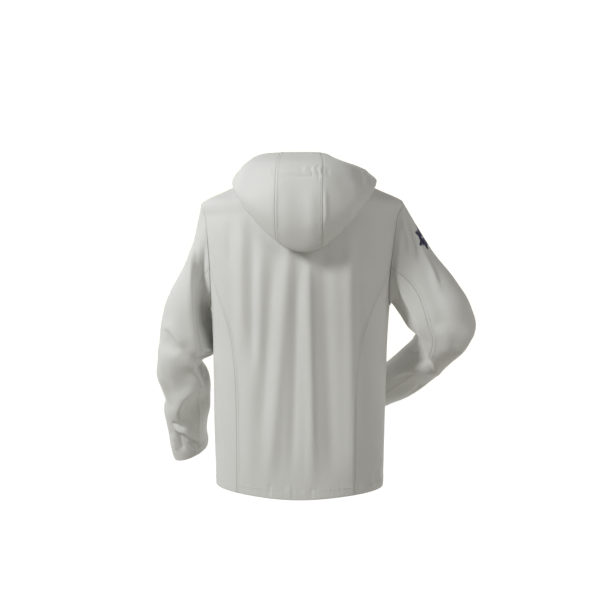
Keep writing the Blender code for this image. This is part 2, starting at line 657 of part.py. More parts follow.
def poly_curve(name, outlines, closed, collection):
    """A curve object of straight-sided splines, one for each outline in millimetres."""
    data = bpy.data.curves.new(name, "CURVE")
    data.dimensions = "2D" if closed else "3D"
    for outline in outlines:
        spline = data.splines.new("POLY")
        spline.points.add(len(outline) - 1)
        spline.use_cyclic_u = closed
        for point, place in zip(spline.points, outline):
            point.co = (*(MM * value for value in place), 1.0)
    made = bpy.data.objects.new(name, data)
    collection.objects.link(made)
    return made


def make_slider(collection, helpers):
    """The slider's plate with the bridge that holds the pull, as one piece."""
    middle, upward, _ = slider_frame()
    tilt = math.atan2(upward[2], upward[1])
    work = bmesh.new()
    bmesh.ops.create_cube(work, size=1.0)
    bmesh.ops.scale(work, verts=work.verts, vec=[size * MM for size in SLIDER_SIZE])
    mesh = bpy.data.meshes.new("zip_slider")
    work.to_mesh(mesh)
    work.free()
    plate = add_object("zip_slider", mesh, "metal", collection)
    bevel = plate.modifiers.new("rounded edges", "BEVEL")
    bevel.width = 0.8 * MM
    bevel.segments = 3

    top = SLIDER_SIZE[2] / 2
    rise = top + BRIDGE_CLEAR + BRIDGE_RADIUS
    reach, corner = BRIDGE_HALF_LENGTH, 1.3
    arch = [(0, -reach, top - 0.7), (0, -reach, rise - corner), (0, corner - reach, rise)]
    arch += [(x, -y, z) for x, y, z in reversed(arch)]
    wire = poly_curve("bridge", [arch], False, helpers)
    wire.data.bevel_depth = BRIDGE_RADIUS * MM
    wire.data.bevel_resolution = 2
    wire.data.use_fill_caps = True
    bridge = mesh_from_curve(wire, helpers)
    bridge.hide_render = True
    bridge.display_type = "WIRE"
    for piece in (plate, bridge):
        piece.location = [value * MM for value in middle]
        piece.rotation_euler = (tilt, 0, 0)
    join = plate.modifiers.new("bridge", "BOOLEAN")
    join.operation = "UNION"
    join.object = bridge


def rounded_outline(half_width, top, bottom, radius, steps=4):
    """The points of an upright rectangle with round corners."""
    corners = ((1, top, 0), (-1, top, 90), (-1, bottom, 180), (1, bottom, 270))
    points = []
    for side, level, start in corners:
        inward = -1 if level == top else 1
        for angle in np.radians(np.linspace(start, start + 90, steps + 1)):
            points.append((side * (half_width - radius) + radius * math.cos(angle),
                           level + inward * radius + radius * math.sin(angle), 0.0))
    return points


def make_pull(collection, helpers):
    """The pull tab, hanging from the slider's bridge. Its origin is the middle of the bar that turns there."""
    middle, _, outward = slider_frame()
    hinge = middle + outward * (SLIDER_SIZE[2] + BRIDGE_CLEAR) / 2
    width, length, thickness = PULL_SIZE
    eye_width, eye_length = PULL_EYE
    top = PULL_BAR / 2
    outlines = [rounded_outline(width / 2, top, top - length, 1.2),
                rounded_outline(eye_width / 2, -PULL_BAR / 2, -PULL_BAR / 2 - eye_length, 0.5, 2)]
    plate = poly_curve("pull_outline", outlines, True, helpers)
    plate.data.fill_mode = "BOTH"
    plate.data.extrude = thickness / 2 * MM
    drawn = mesh_from_curve(plate, helpers)
    pull = add_object("zip_pull", drawn.data, "metal", collection)
    bpy.data.objects.remove(drawn)
    pull.location = [value * MM for value in hinge]
    pull.rotation_euler = (math.radians(90), 0, 0)


def main():
    """Builds every piece."""
    for old in list(bpy.data.objects):
        bpy.data.objects.remove(old)
    jacket = bpy.data.collections.new("windbreaker")
    bpy.context.scene.collection.children.link(jacket)
    make_back(jacket)
    make_sides(jacket)
    make_fronts(jacket)
    make_sleeves(jacket)
    make_hood(jacket)
    make_zip(jacket)
    helpers = bpy.data.collections.new("cutters")
    bpy.context.scene.collection.children.link(helpers)
    make_slider(jacket, helpers)
    make_pull(jacket, helpers)


if __name__ == "__main__":
    main()
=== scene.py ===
"""Hooded windbreaker seen from behind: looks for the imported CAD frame.

Metres at the surface of Blender, millimetres in the tables and in the form classes. +Z is up, the wearer faces -Y
and +X is the wearer's left. Every cloth piece is a thin two-skinned wall on the form of the solid that it replaces.
"""

from __future__ import annotations

import logging
import math
from dataclasses import dataclass, field
from enum import Enum

import bpy
import numpy as np
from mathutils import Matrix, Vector


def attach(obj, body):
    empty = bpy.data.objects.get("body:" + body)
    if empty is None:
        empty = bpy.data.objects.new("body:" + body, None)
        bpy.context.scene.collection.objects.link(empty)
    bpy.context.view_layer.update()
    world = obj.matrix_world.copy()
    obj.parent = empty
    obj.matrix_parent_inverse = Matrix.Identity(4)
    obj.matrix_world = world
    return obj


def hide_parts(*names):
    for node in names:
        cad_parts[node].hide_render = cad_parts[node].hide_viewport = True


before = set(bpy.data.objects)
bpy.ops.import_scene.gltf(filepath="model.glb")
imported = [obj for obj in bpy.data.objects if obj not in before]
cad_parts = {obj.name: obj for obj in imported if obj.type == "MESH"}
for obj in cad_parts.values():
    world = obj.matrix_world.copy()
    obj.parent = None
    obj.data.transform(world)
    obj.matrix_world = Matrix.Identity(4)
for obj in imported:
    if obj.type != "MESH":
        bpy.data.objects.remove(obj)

LOG = logging.getLogger("windbreaker")
MM = 0.001
BODY = "jacket"
END_STEP = 0.01


# Small mathematics

def cubic(start, end, slope_start, slope_end, span, share) -> np.ndarray:
    """The cubic between two knots.

    Args:
        start: values at the first knot.
        end: values at the second knot.
        slope_start: slopes at the first knot.
        slope_end: slopes at the second knot.
        span: distance between the knots.
        share: places between them, 0 to 1.

    Returns:
        The values there.
    """
    return (
        start * (1 + 2 * share) * (1 - share) ** 2
        + end * share**2 * (3 - 2 * share)
        + slope_start * span * share * (1 - share) ** 2
        - slope_end * span * share**2 * (1 - share)
    )


def smooth(knots, values, at) -> np.ndarray:
    """A cubic curve through values, whose slope at each knot comes from its neighbours.

    Args:
        knots: increasing places of the values.
        values: one value, or one row of values, for each knot.
        at: the places asked for.

    Returns:
        The curve's values, in the shape of at, followed by that of one row of values.
    """
    knots, values, at = np.asarray(knots, float), np.asarray(values, float), np.asarray(at, float)
    slopes = np.gradient(values, knots, axis=0)
    i = np.clip(np.searchsorted(knots, at, side="right") - 1, 0, len(knots) - 2)
    span = knots[i + 1] - knots[i]
    t = (at - knots[i]) / span
    if values.ndim > 1:
        span, t = span[..., None], t[..., None]
    return cubic(values[i], values[i + 1], slopes[i], slopes[i + 1], span, t)


def ease(value, start: float, end: float) -> np.ndarray:
    """A smooth rise from 0 at start to 1 at end.

    Args:
        value: where to take it.
        start: the place where it leaves 0.
        end: the place where it reaches 1.

    Returns:
        The rise at each value.
    """
    t = np.clip((np.asarray(value, float) - start) / (end - start), 0, 1)
    return t * t * (3 - 2 * t)


def unit(vectors: np.ndarray) -> np.ndarray:
    """The vectors made one unit long.

    Args:
        vectors: an array whose last axis is x, y, z.

    Returns:
        The unit vectors.
    """
    return vectors / np.maximum(np.linalg.norm(vectors, axis=-1, keepdims=True), 1e-9)


def curve_points(lines: np.ndarray, places: np.ndarray, at: np.ndarray, most_speed: float = np.inf) -> np.ndarray:
    """Points on cubic curves through each line's own points.

    Args:
        lines: points, the next to last axis being the line's.
        places: the place of each of a line's points.
        at: one place for each line.
        most_speed: a slope is kept under this many times the slower of the two steps beside it.

    Returns:
        One point for each line.
    """
    slopes = np.gradient(lines, places, axis=-2)
    steps = np.linalg.norm(np.diff(lines, axis=-2), axis=-1) / np.diff(places)
    most = most_speed * np.minimum(steps[..., :-1], steps[..., 1:])
    inner = slopes[..., 1:-1, :]
    slopes[..., 1:-1, :] = unit(inner) * np.minimum(np.linalg.norm(inner, axis=-1), most)[..., None]
    i = np.clip(np.searchsorted(places, at, side="right") - 1, 0, len(places) - 2)
    span = (places[i + 1] - places[i])[..., None]
    share = (at[..., None] - places[i][..., None]) / span
    knots = (np.take_along_axis(array, index[..., None, None], axis=-2)[..., 0, :]
             for array in (lines, slopes) for index in (i, i + 1))
    return cubic(*knots, span, share)


def lengths_along(points: np.ndarray, axis: int = 0) -> np.ndarray:
    """Length along lines of points, from 0 at the start of each.

    Args:
        points: lines of points, whose last axis is x, y, z.
        axis: the axis that the lines run along.

    Returns:
        The length at each point.
    """
    steps = np.diff(points, axis=axis, prepend=np.take(points, [0], axis))
    return np.cumsum(np.linalg.norm(steps, axis=-1), axis=axis)


def at_lengths(rows: np.ndarray, lengths: np.ndarray, at: np.ndarray) -> np.ndarray:
    """Points or directions at lengths along one line.

    Args:
        rows: the line's points, or its directions.
        lengths: the length at each row.
        at: the lengths asked for.

    Returns:
        One row for each length.
    """
    return np.stack([np.interp(at, lengths, rows[:, i]) for i in range(3)], axis=-1)


def column(table, columns: tuple[str, ...], name: str) -> np.ndarray:
    """One named column of a table.

    Args:
        table: rows of numbers.
        columns: the columns' names in order.
        name: the column asked for.

    Returns:
        The column's numbers.
    """
    return np.array([row[columns.index(name)] for row in table], float)


def normal_field(surface, u, v, span: tuple[float, float], ends=(-np.inf, np.inf)) -> np.ndarray:
    """Unit normals of a two-parameter surface from its slopes.

    Args:
        surface: the function of u and v that gives points.
        u: first parameters.
        v: second parameters.
        span: how far to each side of u and of v the slopes are taken.
        ends: least and most v that the surface has.

    Returns:
        The normals, slope along u crossed with slope along v.
    """
    along_u = surface(u + span[0], v) - surface(u - span[0], v)
    along_v = surface(u, np.minimum(v + span[1], ends[1])) - surface(u, np.maximum(v - span[1], ends[0]))
    return unit(np.cross(along_u, along_v))


def grid_normals(points: np.ndarray, like: np.ndarray) -> np.ndarray:
    """Unit normals of a grid of points.

    Args:
        points: rows, columns, x y z.
        like: directions on the side that the normals should point to.

    Returns:
        The normals: the cross product of the grid's two central differences.
    """
    normals = unit(np.cross(np.gradient(points, axis=1), np.gradient(points, axis=0)))
    flip = np.sign(np.sum(normals * like, axis=-1, keepdims=True))
    return normals * np.where(flip == 0, 1, flip)


def graded(speed_start, speed_end, near_start, near_end, middle) -> np.ndarray:
    """Shares from 0 to 1 along several lines, set out in millimetres near both ends and in steps between.

    Args:
        speed_start: millimetres for each whole share at the start of each line.
        speed_end: the same at the end of each line.
        near_start: offsets from the start in millimetres.
        near_end: offsets from the end in millimetres.
        middle: shares between the two graded stretches, more than 0 and less than 1.

    Returns:
        Places by lines.
    """
    start = np.asarray(near_start, float)[:, None] / np.atleast_1d(speed_start)
    end = 1 - np.asarray(near_end, float)[::-1, None] / np.atleast_1d(speed_end)
    inner = start[-1] + (end[0] - start[-1]) * np.asarray(middle, float)[:, None]
    return np.vstack([start, inner, end])


def end_speeds(points_at) -> list[np.ndarray]:
    """How fast several lines run at both ends.

    Args:
        points_at: the function of a share, 0 to 1, that gives each line's point there.

    Returns:
        Millimetres for each whole share at the start of each line, and at its end.
    """
    return [np.linalg.norm(points_at(after) - points_at(before), axis=-1) / END_STEP
            for before, after in ((0.0, END_STEP), (1.0 - END_STEP, 1.0))]


def even(cells: int) -> np.ndarray:
    """The inner places of a line split into equal cells.

    Args:
        cells: number of cells.

    Returns:
        cells - 1 shares between 0 and 1.
    """
    return np.linspace(0, 1, cells + 1)[1:-1]


def bilinear(field_values: np.ndarray, u: np.ndarray, v: np.ndarray) -> np.ndarray:
    """Values between the knots of an even grid.

    Args:
        field_values: grid over u by v, followed by the axis of one value's numbers.
        u: first shares, 0 to 1.
        v: second shares, 0 to 1.

    Returns:
        The blended values.
    """
    size_u, size_v = field_values.shape[0] - 1, field_values.shape[1] - 1
    x, y = np.clip(u, 0, 1) * size_u, np.clip(v, 0, 1) * size_v
    i, j = np.minimum(x.astype(int), size_u - 1), np.minimum(y.astype(int), size_v - 1)
    a, b = (x - i)[..., None], (y - j)[..., None]
    return (
        field_values[i, j] * (1 - a) * (1 - b)
        + field_values[i + 1, j] * a * (1 - b)
        + field_values[i, j + 1] * (1 - a) * b
        + field_values[i + 1, j + 1] * a * b
    )


# Creases

class Facing(Enum):
    """The side of the garment that a crease shows on."""

    BEHIND = 1
    AHEAD = -1


@dataclass(frozen=True)
class Crease:
    """A soft ridge or trough along a path.

    Attributes:
        path: (x, z) places in millimetres that it runs through.
        spread: half width of its bell-shaped section in millimetres.
        rise: height in millimetres, negative for a trough.
        sharp: share by which the right side of the path, looking along it, is steeper.
        facing: the side it shows on.
        longest_tail: greatest share of the path over which each of its ends fades.
    """

    path: tuple[tuple[float, float], ...]
    spread: float
    rise: float
    sharp: float = 0.0
    facing: Facing = Facing.BEHIND
    longest_tail = 0.3

    def lift(self, points: np.ndarray, normals: np.ndarray) -> np.ndarray:
        """How far the crease lifts each point.

        Args:
            points: the surface's points in millimetres.
            normals: its unit normals.

        Returns:
            The lift in millimetres: rise, times a bell of the distance to the path seen along Y, faded at both
            ends of the path and where the surface turns away.
        """
        at = points[..., (0, 2)]
        path = np.array(self.path, float)
        starts = lengths_along(path)
        steps = np.linalg.norm(np.diff(path, axis=0), axis=1)
        tail = min(self.longest_tail, (2.2 * self.spread + 25) / starts[-1])
        best = np.full(at.shape[:-1], np.inf)
        share, side = np.zeros(best.shape), np.ones(best.shape)
        for start, end, step, before in zip(path[:-1], path[1:], steps, starts):
            along = (end - start) / step
            offset = at - start
            place = np.clip(offset @ along, 0, step)
            away = np.linalg.norm(offset - place[..., None] * along, axis=-1)
            nearer = away < best
            best = np.where(nearer, away, best)
            share = np.where(nearer, (before + place) / starts[-1], share)
            side = np.where(nearer, offset @ np.array([-along[1], along[0]]), side)
        spread = self.spread * np.where(side < 0, 1 - self.sharp, 1)
        fade = ease(share, -0.02, tail) * (1 - ease(share, 1 - tail, 1.02))
        seen = ease(normals[..., 1] * self.facing.value, -0.05, 0.22)
        return self.rise * fade * seen * np.exp(-((best / spread) ** 2))


def creases(rows, facing: Facing = Facing.BEHIND) -> tuple[Crease, ...]:
    """Creases from a table whose columns are path, spread, rise and sharp.

    Args:
        rows: the table.
        facing: the side of the garment that they show on.

    Returns:
        The creases.
    """
    return tuple(Crease(path, spread, rise, sharp, facing) for path, spread, rise, sharp in rows)


# Forms, the same as the solids'

@dataclass(frozen=True)
class TorsoForm:
    """The torso as rings from hem to neck with long soft folds.

    A ring is a superellipse; turn is in degrees from the wearer's left towards the back, and height is the ring's
    height at its sides.
    """

    ring_columns = ("height", "half_width", "behind", "ahead", "rise_behind", "rise_ahead", "lean", "squareness")
    rings = (
        (-697, 187, 121, 132, -12, -7, 6.5, 2.3),
        (-600, 190, 120, 135, 0, 0, 7.0, 2.3),
        (-480, 193, 120, 138, 0, 0, 6.5, 2.3),
        (-350, 197, 125, 140, 0, 0, 5.5, 2.3),
        (-290, 201, 130, 140, 0, 0, 4.5, 2.35),
        (-220, 211, 134, 137, 0, 0, 2.0, 2.4),
        (-150, 220, 132, 127, 0, -6, 0.0, 2.4),
        (-105, 224, 124, 114, 4, -20, 0.0, 2.35),
        (-66, 222, 112, 100, 9, -36, 0.0, 2.3),
        (-44, 175, 98, 88, 12, -48, 0.0, 2.2),
        (-22, 126, 83, 77, 13, -56, 0.0, 2.1),
        (0, 76, 66, 68, 13, -62, 0.0, 2.0),
    )
    back_folds = (
        (14, -150, 60, -660, 15, 5.0),
        (-22, -200, -31, -670, 13, 4.5),
        (-2, -230, 12, -640, 11, -3.5),
        (-111, -140, -116, -670, 14, 5.0),
        (-55, -150, -74, -650, 17, -4.5),
        (-133, -160, -138, -600, 11, -2.0),
        (-149, -170, -152, -380, 13, 2.0),
        (122, -110, 120, -380, 13, 4.5),
        (151, -130, 146, -420, 13, -2.5),
        (97, -150, 100, -420, 11, -3.0),
        (76, -170, 84, -440, 11, 3.0),
        (50, -190, 78, -560, 13, -3.5),
        (105, -430, 104, -680, 18, 3.0),
    )
    front_folds = (
        (44, -150, 34, -660, 14, 4.0),
        (72, -170, 62, -640, 13, -3.5),
        (104, -140, 110, -560, 15, 4.5),
        (136, -180, 140, -520, 12, -3.0),
        (-40, -160, -48, -640, 14, 4.0),
        (-70, -150, -80, -660, 13, -3.5),
        (-108, -170, -104, -600, 15, 4.0),
        (-138, -200, -136, -480, 12, -3.0),
    )
    hem: float = -697.0
    shoulder_point: float = -66.0
    armpit: float = -300.0
    hole_behind: float = 17.0
    hole_ahead: float = 19.0
    hole_fullness: float = 0.8
    seams_meet: float = 105.0

    def ring(self, name: str, height) -> np.ndarray:
        """A ring's named size at a height.

        Args:
            name: one of ring_columns.
            height: millimetres.

        Returns:
            The size.
        """
        return smooth(column(self.rings, self.ring_columns, "height"), column(self.rings, self.ring_columns, name),
                      height)

    def plain(self, turn, height) -> np.ndarray:
        """The torso without folds: superellipse sections whose sizes are cubic curves of the height.

        Args:
            turn: degrees.
            height: millimetres.

        Returns:
            Points.
        """
        cosine, sine = np.cos(np.radians(turn)), np.sin(np.radians(turn))
        depth = np.where(sine > 0, self.ring("behind", height), self.ring("ahead", height))
        power = self.ring("squareness", height)
        reach = ((np.abs(cosine) / self.ring("half_width", height)) ** power + (np.abs(sine) / depth) ** power)
        reach = reach ** (-1 / power)
        rise = np.where(sine > 0, self.ring("rise_behind", height), self.ring("rise_ahead", height)) * sine**2
        return np.stack([self.ring("lean", height) + reach * cosine, reach * sine, height + rise], axis=-1)

    def fold_rise(self, points: np.ndarray, folds, end_fade: float = 70.0) -> np.ndarray:
        """How far the long folds lift each point.

        Args:
            points: points of the plain torso.
            folds: rows of x_top, z_top, x_bottom, z_bottom, spread, rise.
            end_fade: the length over which a fold's ends fade.

        Returns:
            The lift in millimetres.
        """
        x, z = points[..., 0], points[..., 2]
        lift = np.zeros(x.shape)
        for x_top, z_top, x_bottom, z_bottom, spread, rise in folds:
            middle = x_top + (x_bottom - x_top) * (z - z_top) / (z_bottom - z_top)
            fade = ease(z, z_bottom - end_fade / 2, z_bottom + end_fade)
            fade = fade * (1 - ease(z, z_top - end_fade, z_top + end_fade / 2))
            lift += rise * fade * np.exp(-(((x - middle) / spread) ** 2))
        return lift

    def point(self, turn, height) -> np.ndarray:
        """The torso's outer face with its folds.

        Args:
            turn: degrees.
            height: millimetres.

        Returns:
            Points: the plain torso moved out along its normals by the folds' rise.
        """
        turn, height = np.broadcast_arrays(np.asarray(turn, float), np.asarray(height, float))
        points = self.plain(turn, height)
        outward = normal_field(self.plain, turn, height, (0.5, 1.0))
        behind, ahead = ease(points[..., 1], 10, 60), ease(-points[..., 1], 10, 60)
        lift = behind * self.fold_rise(points, self.back_folds) + ahead * self.fold_rise(points, self.front_folds)
        return points + outward * lift[..., None]

    def normals(self, turn, height) -> np.ndarray:
        """Directions straight out of the torso's face.

        Args:
            turn: degrees.
            height: millimetres.

        Returns:
            Unit normals.
        """
        return normal_field(self.point, turn, height, (1.0, 2.5), (self.hem, 0.0))

    def armhole(self, around) -> tuple[np.ndarray, np.ndarray]:
        """The armhole's edge on the left side.

        Args:
            around: degrees, 0 at the shoulder, 90 behind, 180 at the armpit.

        Returns:
            Turn and height.
        """
        radians = np.radians(around)
        middle, half = (self.shoulder_point + self.armpit) / 2, (self.shoulder_point - self.armpit) / 2
        widest = np.where(np.sin(radians) >= 0, self.hole_behind, -self.hole_ahead)
        return widest * np.abs(np.sin(radians)) ** self.hole_fullness, middle + half * np.cos(radians)

    def side_edge(self, heights: np.ndarray, ahead: bool) -> np.ndarray:
        """Turn of the left side seam behind or ahead, below the armhole.

        Args:
            heights: millimetres.
            ahead: whether it is the front seam.

        Returns:
            Turns in degrees.
        """
        sign = -1 if ahead else 1
        turn, meets = self.armhole(sign * self.seams_meet)
        if ahead:
            return smooth((-700, -450, meets), (-15, -15, turn), heights)
        return smooth((-700, -560, -420, -330, -260, meets), (37, 37, 35, 30, 22, turn), heights)

    def panel_rows(self, ahead: bool, below: np.ndarray, hole_step: float, above: np.ndarray):
        """Heights of the rows of a front or back, and the turn of its outer edge at each.

        Args:
            ahead: whether it is the front.
            below: heights from the hem up to, and without, the place where the side seam meets the armhole.
            hole_step: degrees between rows along the armhole.
            above: heights above the shoulder point up to the neck.

        Returns:
            Heights and turns.
        """
        sign = -1 if ahead else 1
        steps = np.arange(self.seams_meet, -hole_step / 2, -hole_step)
        hole_turns, hole = self.armhole(sign * steps)
        above_turns = 7.0 * ease(above, self.shoulder_point, -10.0)
        return (np.concatenate([below, hole, above]),
                np.concatenate([self.side_edge(below, ahead), hole_turns, above_turns]))

    def outside(self, points: np.ndarray) -> np.ndarray:
        """How far each point is from the torso's axis beyond its face.

        Args:
            points: points near the torso.

        Returns:
            Millimetres, positive outside.
        """
        height = points[..., 2]
        for _ in range(4):
            height = np.clip(height, self.hem, 0)
            lean = self.ring("lean", height)
            turn = np.degrees(np.arctan2(points[..., 1], points[..., 0] - lean))
            face = self.point(turn, height)
            height = height + points[..., 2] - face[..., 2]
        return np.hypot(points[..., 0] - lean, points[..., 1]) - np.hypot(face[..., 0] - lean, face[..., 1])

    def cleared(self, points: np.ndarray, clearance: float) -> np.ndarray:
        """The points, pushed straight out where they lie nearer the torso than the clearance.

        Args:
            points: points near the torso.
            clearance: least distance in millimetres.

        Returns:
            The moved points.
        """
        steps = np.eye(3) * 0.5
        for _ in range(3):
            slope = np.stack([self.outside(points + step) - self.outside(points - step) for step in steps], axis=-1)
            steepness = np.maximum(np.linalg.norm(slope, axis=-1), 1e-6)
            lacking = np.maximum(clearance - self.outside(points) / steepness, 0)
            points = points + slope / steepness[..., None] * lacking[..., None]
        return points


TORSO = TorsoForm()


@dataclass
class SleeveForm:
    """One sleeve as rings square to a bent centre line, from the armhole to the cuff.

    around is in degrees, 0 on the outer side, 90 behind and 180 on the inner side; along goes from 0 to 1.
    """

    side: int
    push_size: tuple[int, int] = (72, 60)
    columns = ("x", "y", "z", "half_out", "half_back", "lean")
    left = (
        (230, -2, -236, 74, 68, 56),
        (259, -10, -322, 61, 68, 12),
        (264, -12, -364, 64, 66, 2),
        (267, -11, -396, 63, 64, 0),
        (279, -10, -411, 53, 61, 0),
        (284, -14, -427, 49, 60, 0),
        (281, -26, -453, 58, 60, 0),
        (275, -41, -484, 57, 59, 0),
        (273, -54, -513, 52, 56, 0),
        (278, -68, -542, 54, 54, 0),
        (281, -80, -571, 49, 50, 0),
        (281, -90, -600, 45, 48, 0),
        (279, -100, -630, 45, 46, -5),
        (277, -107, -651, 43, 44, -14),
    )
    right = (
        (-245, 5, -236, 74, 68, 18),
        (-279, 14, -281, 72, 68, 4),
        (-305, 20, -324, 72, 67, 0),
        (-317, 17, -352, 66, 66, 0),
        (-312, 9, -371, 56, 64, 0),
        (-301, -5, -386, 47, 60, 0),
        (-289, -22, -400, 45, 58, 0),
        (-278, -41, -415, 46, 55, 0),
        (-263, -63, -432, 48, 53, 0),
        (-241, -92, -455, 49, 51, 0),
        (-216, -122, -477, 48, 49, 0),
        (-165, -178, -508, 44, 46, 0),
    )
    left_back_seam_turns = (105, 122, 131, 140, 140, 141)
    right_back_seam_turns = (105, 102, 120, 119, 118, 118)
    front_seam_turns = (255, 247, 244, 244, 244, 244)
    tangent_passes = 4
    clearance: float = 2.2
    push: np.ndarray = field(init=False)

    def __post_init__(self) -> None:
        """Works out how far the rings move to stay clear of the torso, on an even grid."""
        u, v = np.meshgrid(np.linspace(0, 360, self.push_size[0] + 1), np.linspace(0, 1, self.push_size[1] + 1),
                           indexing="ij")
        points = self.ringed(u, v)
        near = ease(v, 0.0, 0.06) * (1 - ease(v, 0.6, 0.7))
        self.push = (TORSO.cleared(points, self.clearance) - points) * near[..., None]

    def loop(self, around) -> np.ndarray:
        """Points of the torso on the armhole's edge.

        Args:
            around: degrees.

        Returns:
            Points.
        """
        turn, height = TORSO.armhole(around)
        return TORSO.point(turn if self.side > 0 else 180.0 - turn, height)

    def ringed(self, around, along) -> np.ndarray:
        """The sleeve before it is moved clear of the torso: ellipses carried down the centre line without twist.

        Args:
            around: degrees.
            along: 0 to 1.

        Returns:
            Points.
        """
        around, along = np.broadcast_arrays(np.asarray(around, float), np.asarray(along, float))
        table = self.left if self.side > 0 else self.right
        centres = np.stack([column(table, self.columns, axis) for axis in "xyz"], axis=-1)
        start = self.loop(np.arange(0, 360, 30.0)).mean(axis=0)
        line = np.vstack([start, centres])
        tangents = unit(np.gradient(line, axis=0))
        for _ in range(self.tangent_passes):
            tangents[1:-1] = unit(tangents[:-2] + 2 * tangents[1:-1] + tangents[2:])
        first = np.array([self.side * 0.9, 0.0, 0.4])
        outs = [unit(first - tangents[0] * (first @ tangents[0]))]
        for before, now in zip(tangents[:-1], tangents[1:]):
            out = outs[-1]
            axis = np.cross(before, now)
            sine, cosine = np.linalg.norm(axis), before @ now
            if sine > 1e-9:
                axis = axis / sine
                out = out * cosine + np.cross(axis, out) * sine + axis * (axis @ out) * (1 - cosine)
            outs.append(unit(out - now * (out @ now)))
        tangents, outs = tangents[1:], np.array(outs)[1:]
        backs = np.cross(outs, tangents) * self.side
        lean = np.radians(column(table, self.columns, "lean"))[:, None]
        outs = outs * np.cos(lean) - tangents * np.sin(lean)
        radians = np.radians(around)[..., None, None]
        rings = (
            centres
            + outs * column(table, self.columns, "half_out")[:, None] * np.cos(radians)
            + backs * column(table, self.columns, "half_back")[:, None] * np.sin(radians)
        )
        rings = np.concatenate([self.loop(around)[..., None, :], rings], axis=-2)
        steps = np.linalg.norm(np.diff(line, axis=0), axis=1)
        return curve_points(rings, np.concatenate([[0], np.cumsum(steps)]) / steps.sum(), along)

    def point(self, around, along) -> np.ndarray:
        """The sleeve's outer face.

        Args:
            around: degrees.
            along: 0 to 1.

        Returns:
            Points: the rings, moved clear of the torso.
        """
        around, along = np.broadcast_arrays(np.asarray(around, float), np.asarray(along, float))
        return self.ringed(around, along) + bilinear(self.push, np.mod(around, 360) / 360, along)

    def normals(self, around, along) -> np.ndarray:
        """Directions straight out of the sleeve.

        Args:
            around: degrees.
            along: 0 to 1.

        Returns:
            Unit normals.
        """
        return -self.side * normal_field(self.point, around, along, (4.0, 0.007), (0, 1))

    def seam(self, back: bool, along) -> np.ndarray:
        """Where a seam of the sleeve runs.

        Args:
            back: whether it is the back seam.
            along: 0 to 1.

        Returns:
            Degrees round the sleeve.
        """
        back_turns = self.left_back_seam_turns if self.side > 0 else self.right_back_seam_turns
        turns = back_turns if back else self.front_seam_turns
        return smooth(np.linspace(0, 1, len(turns)), turns, along)


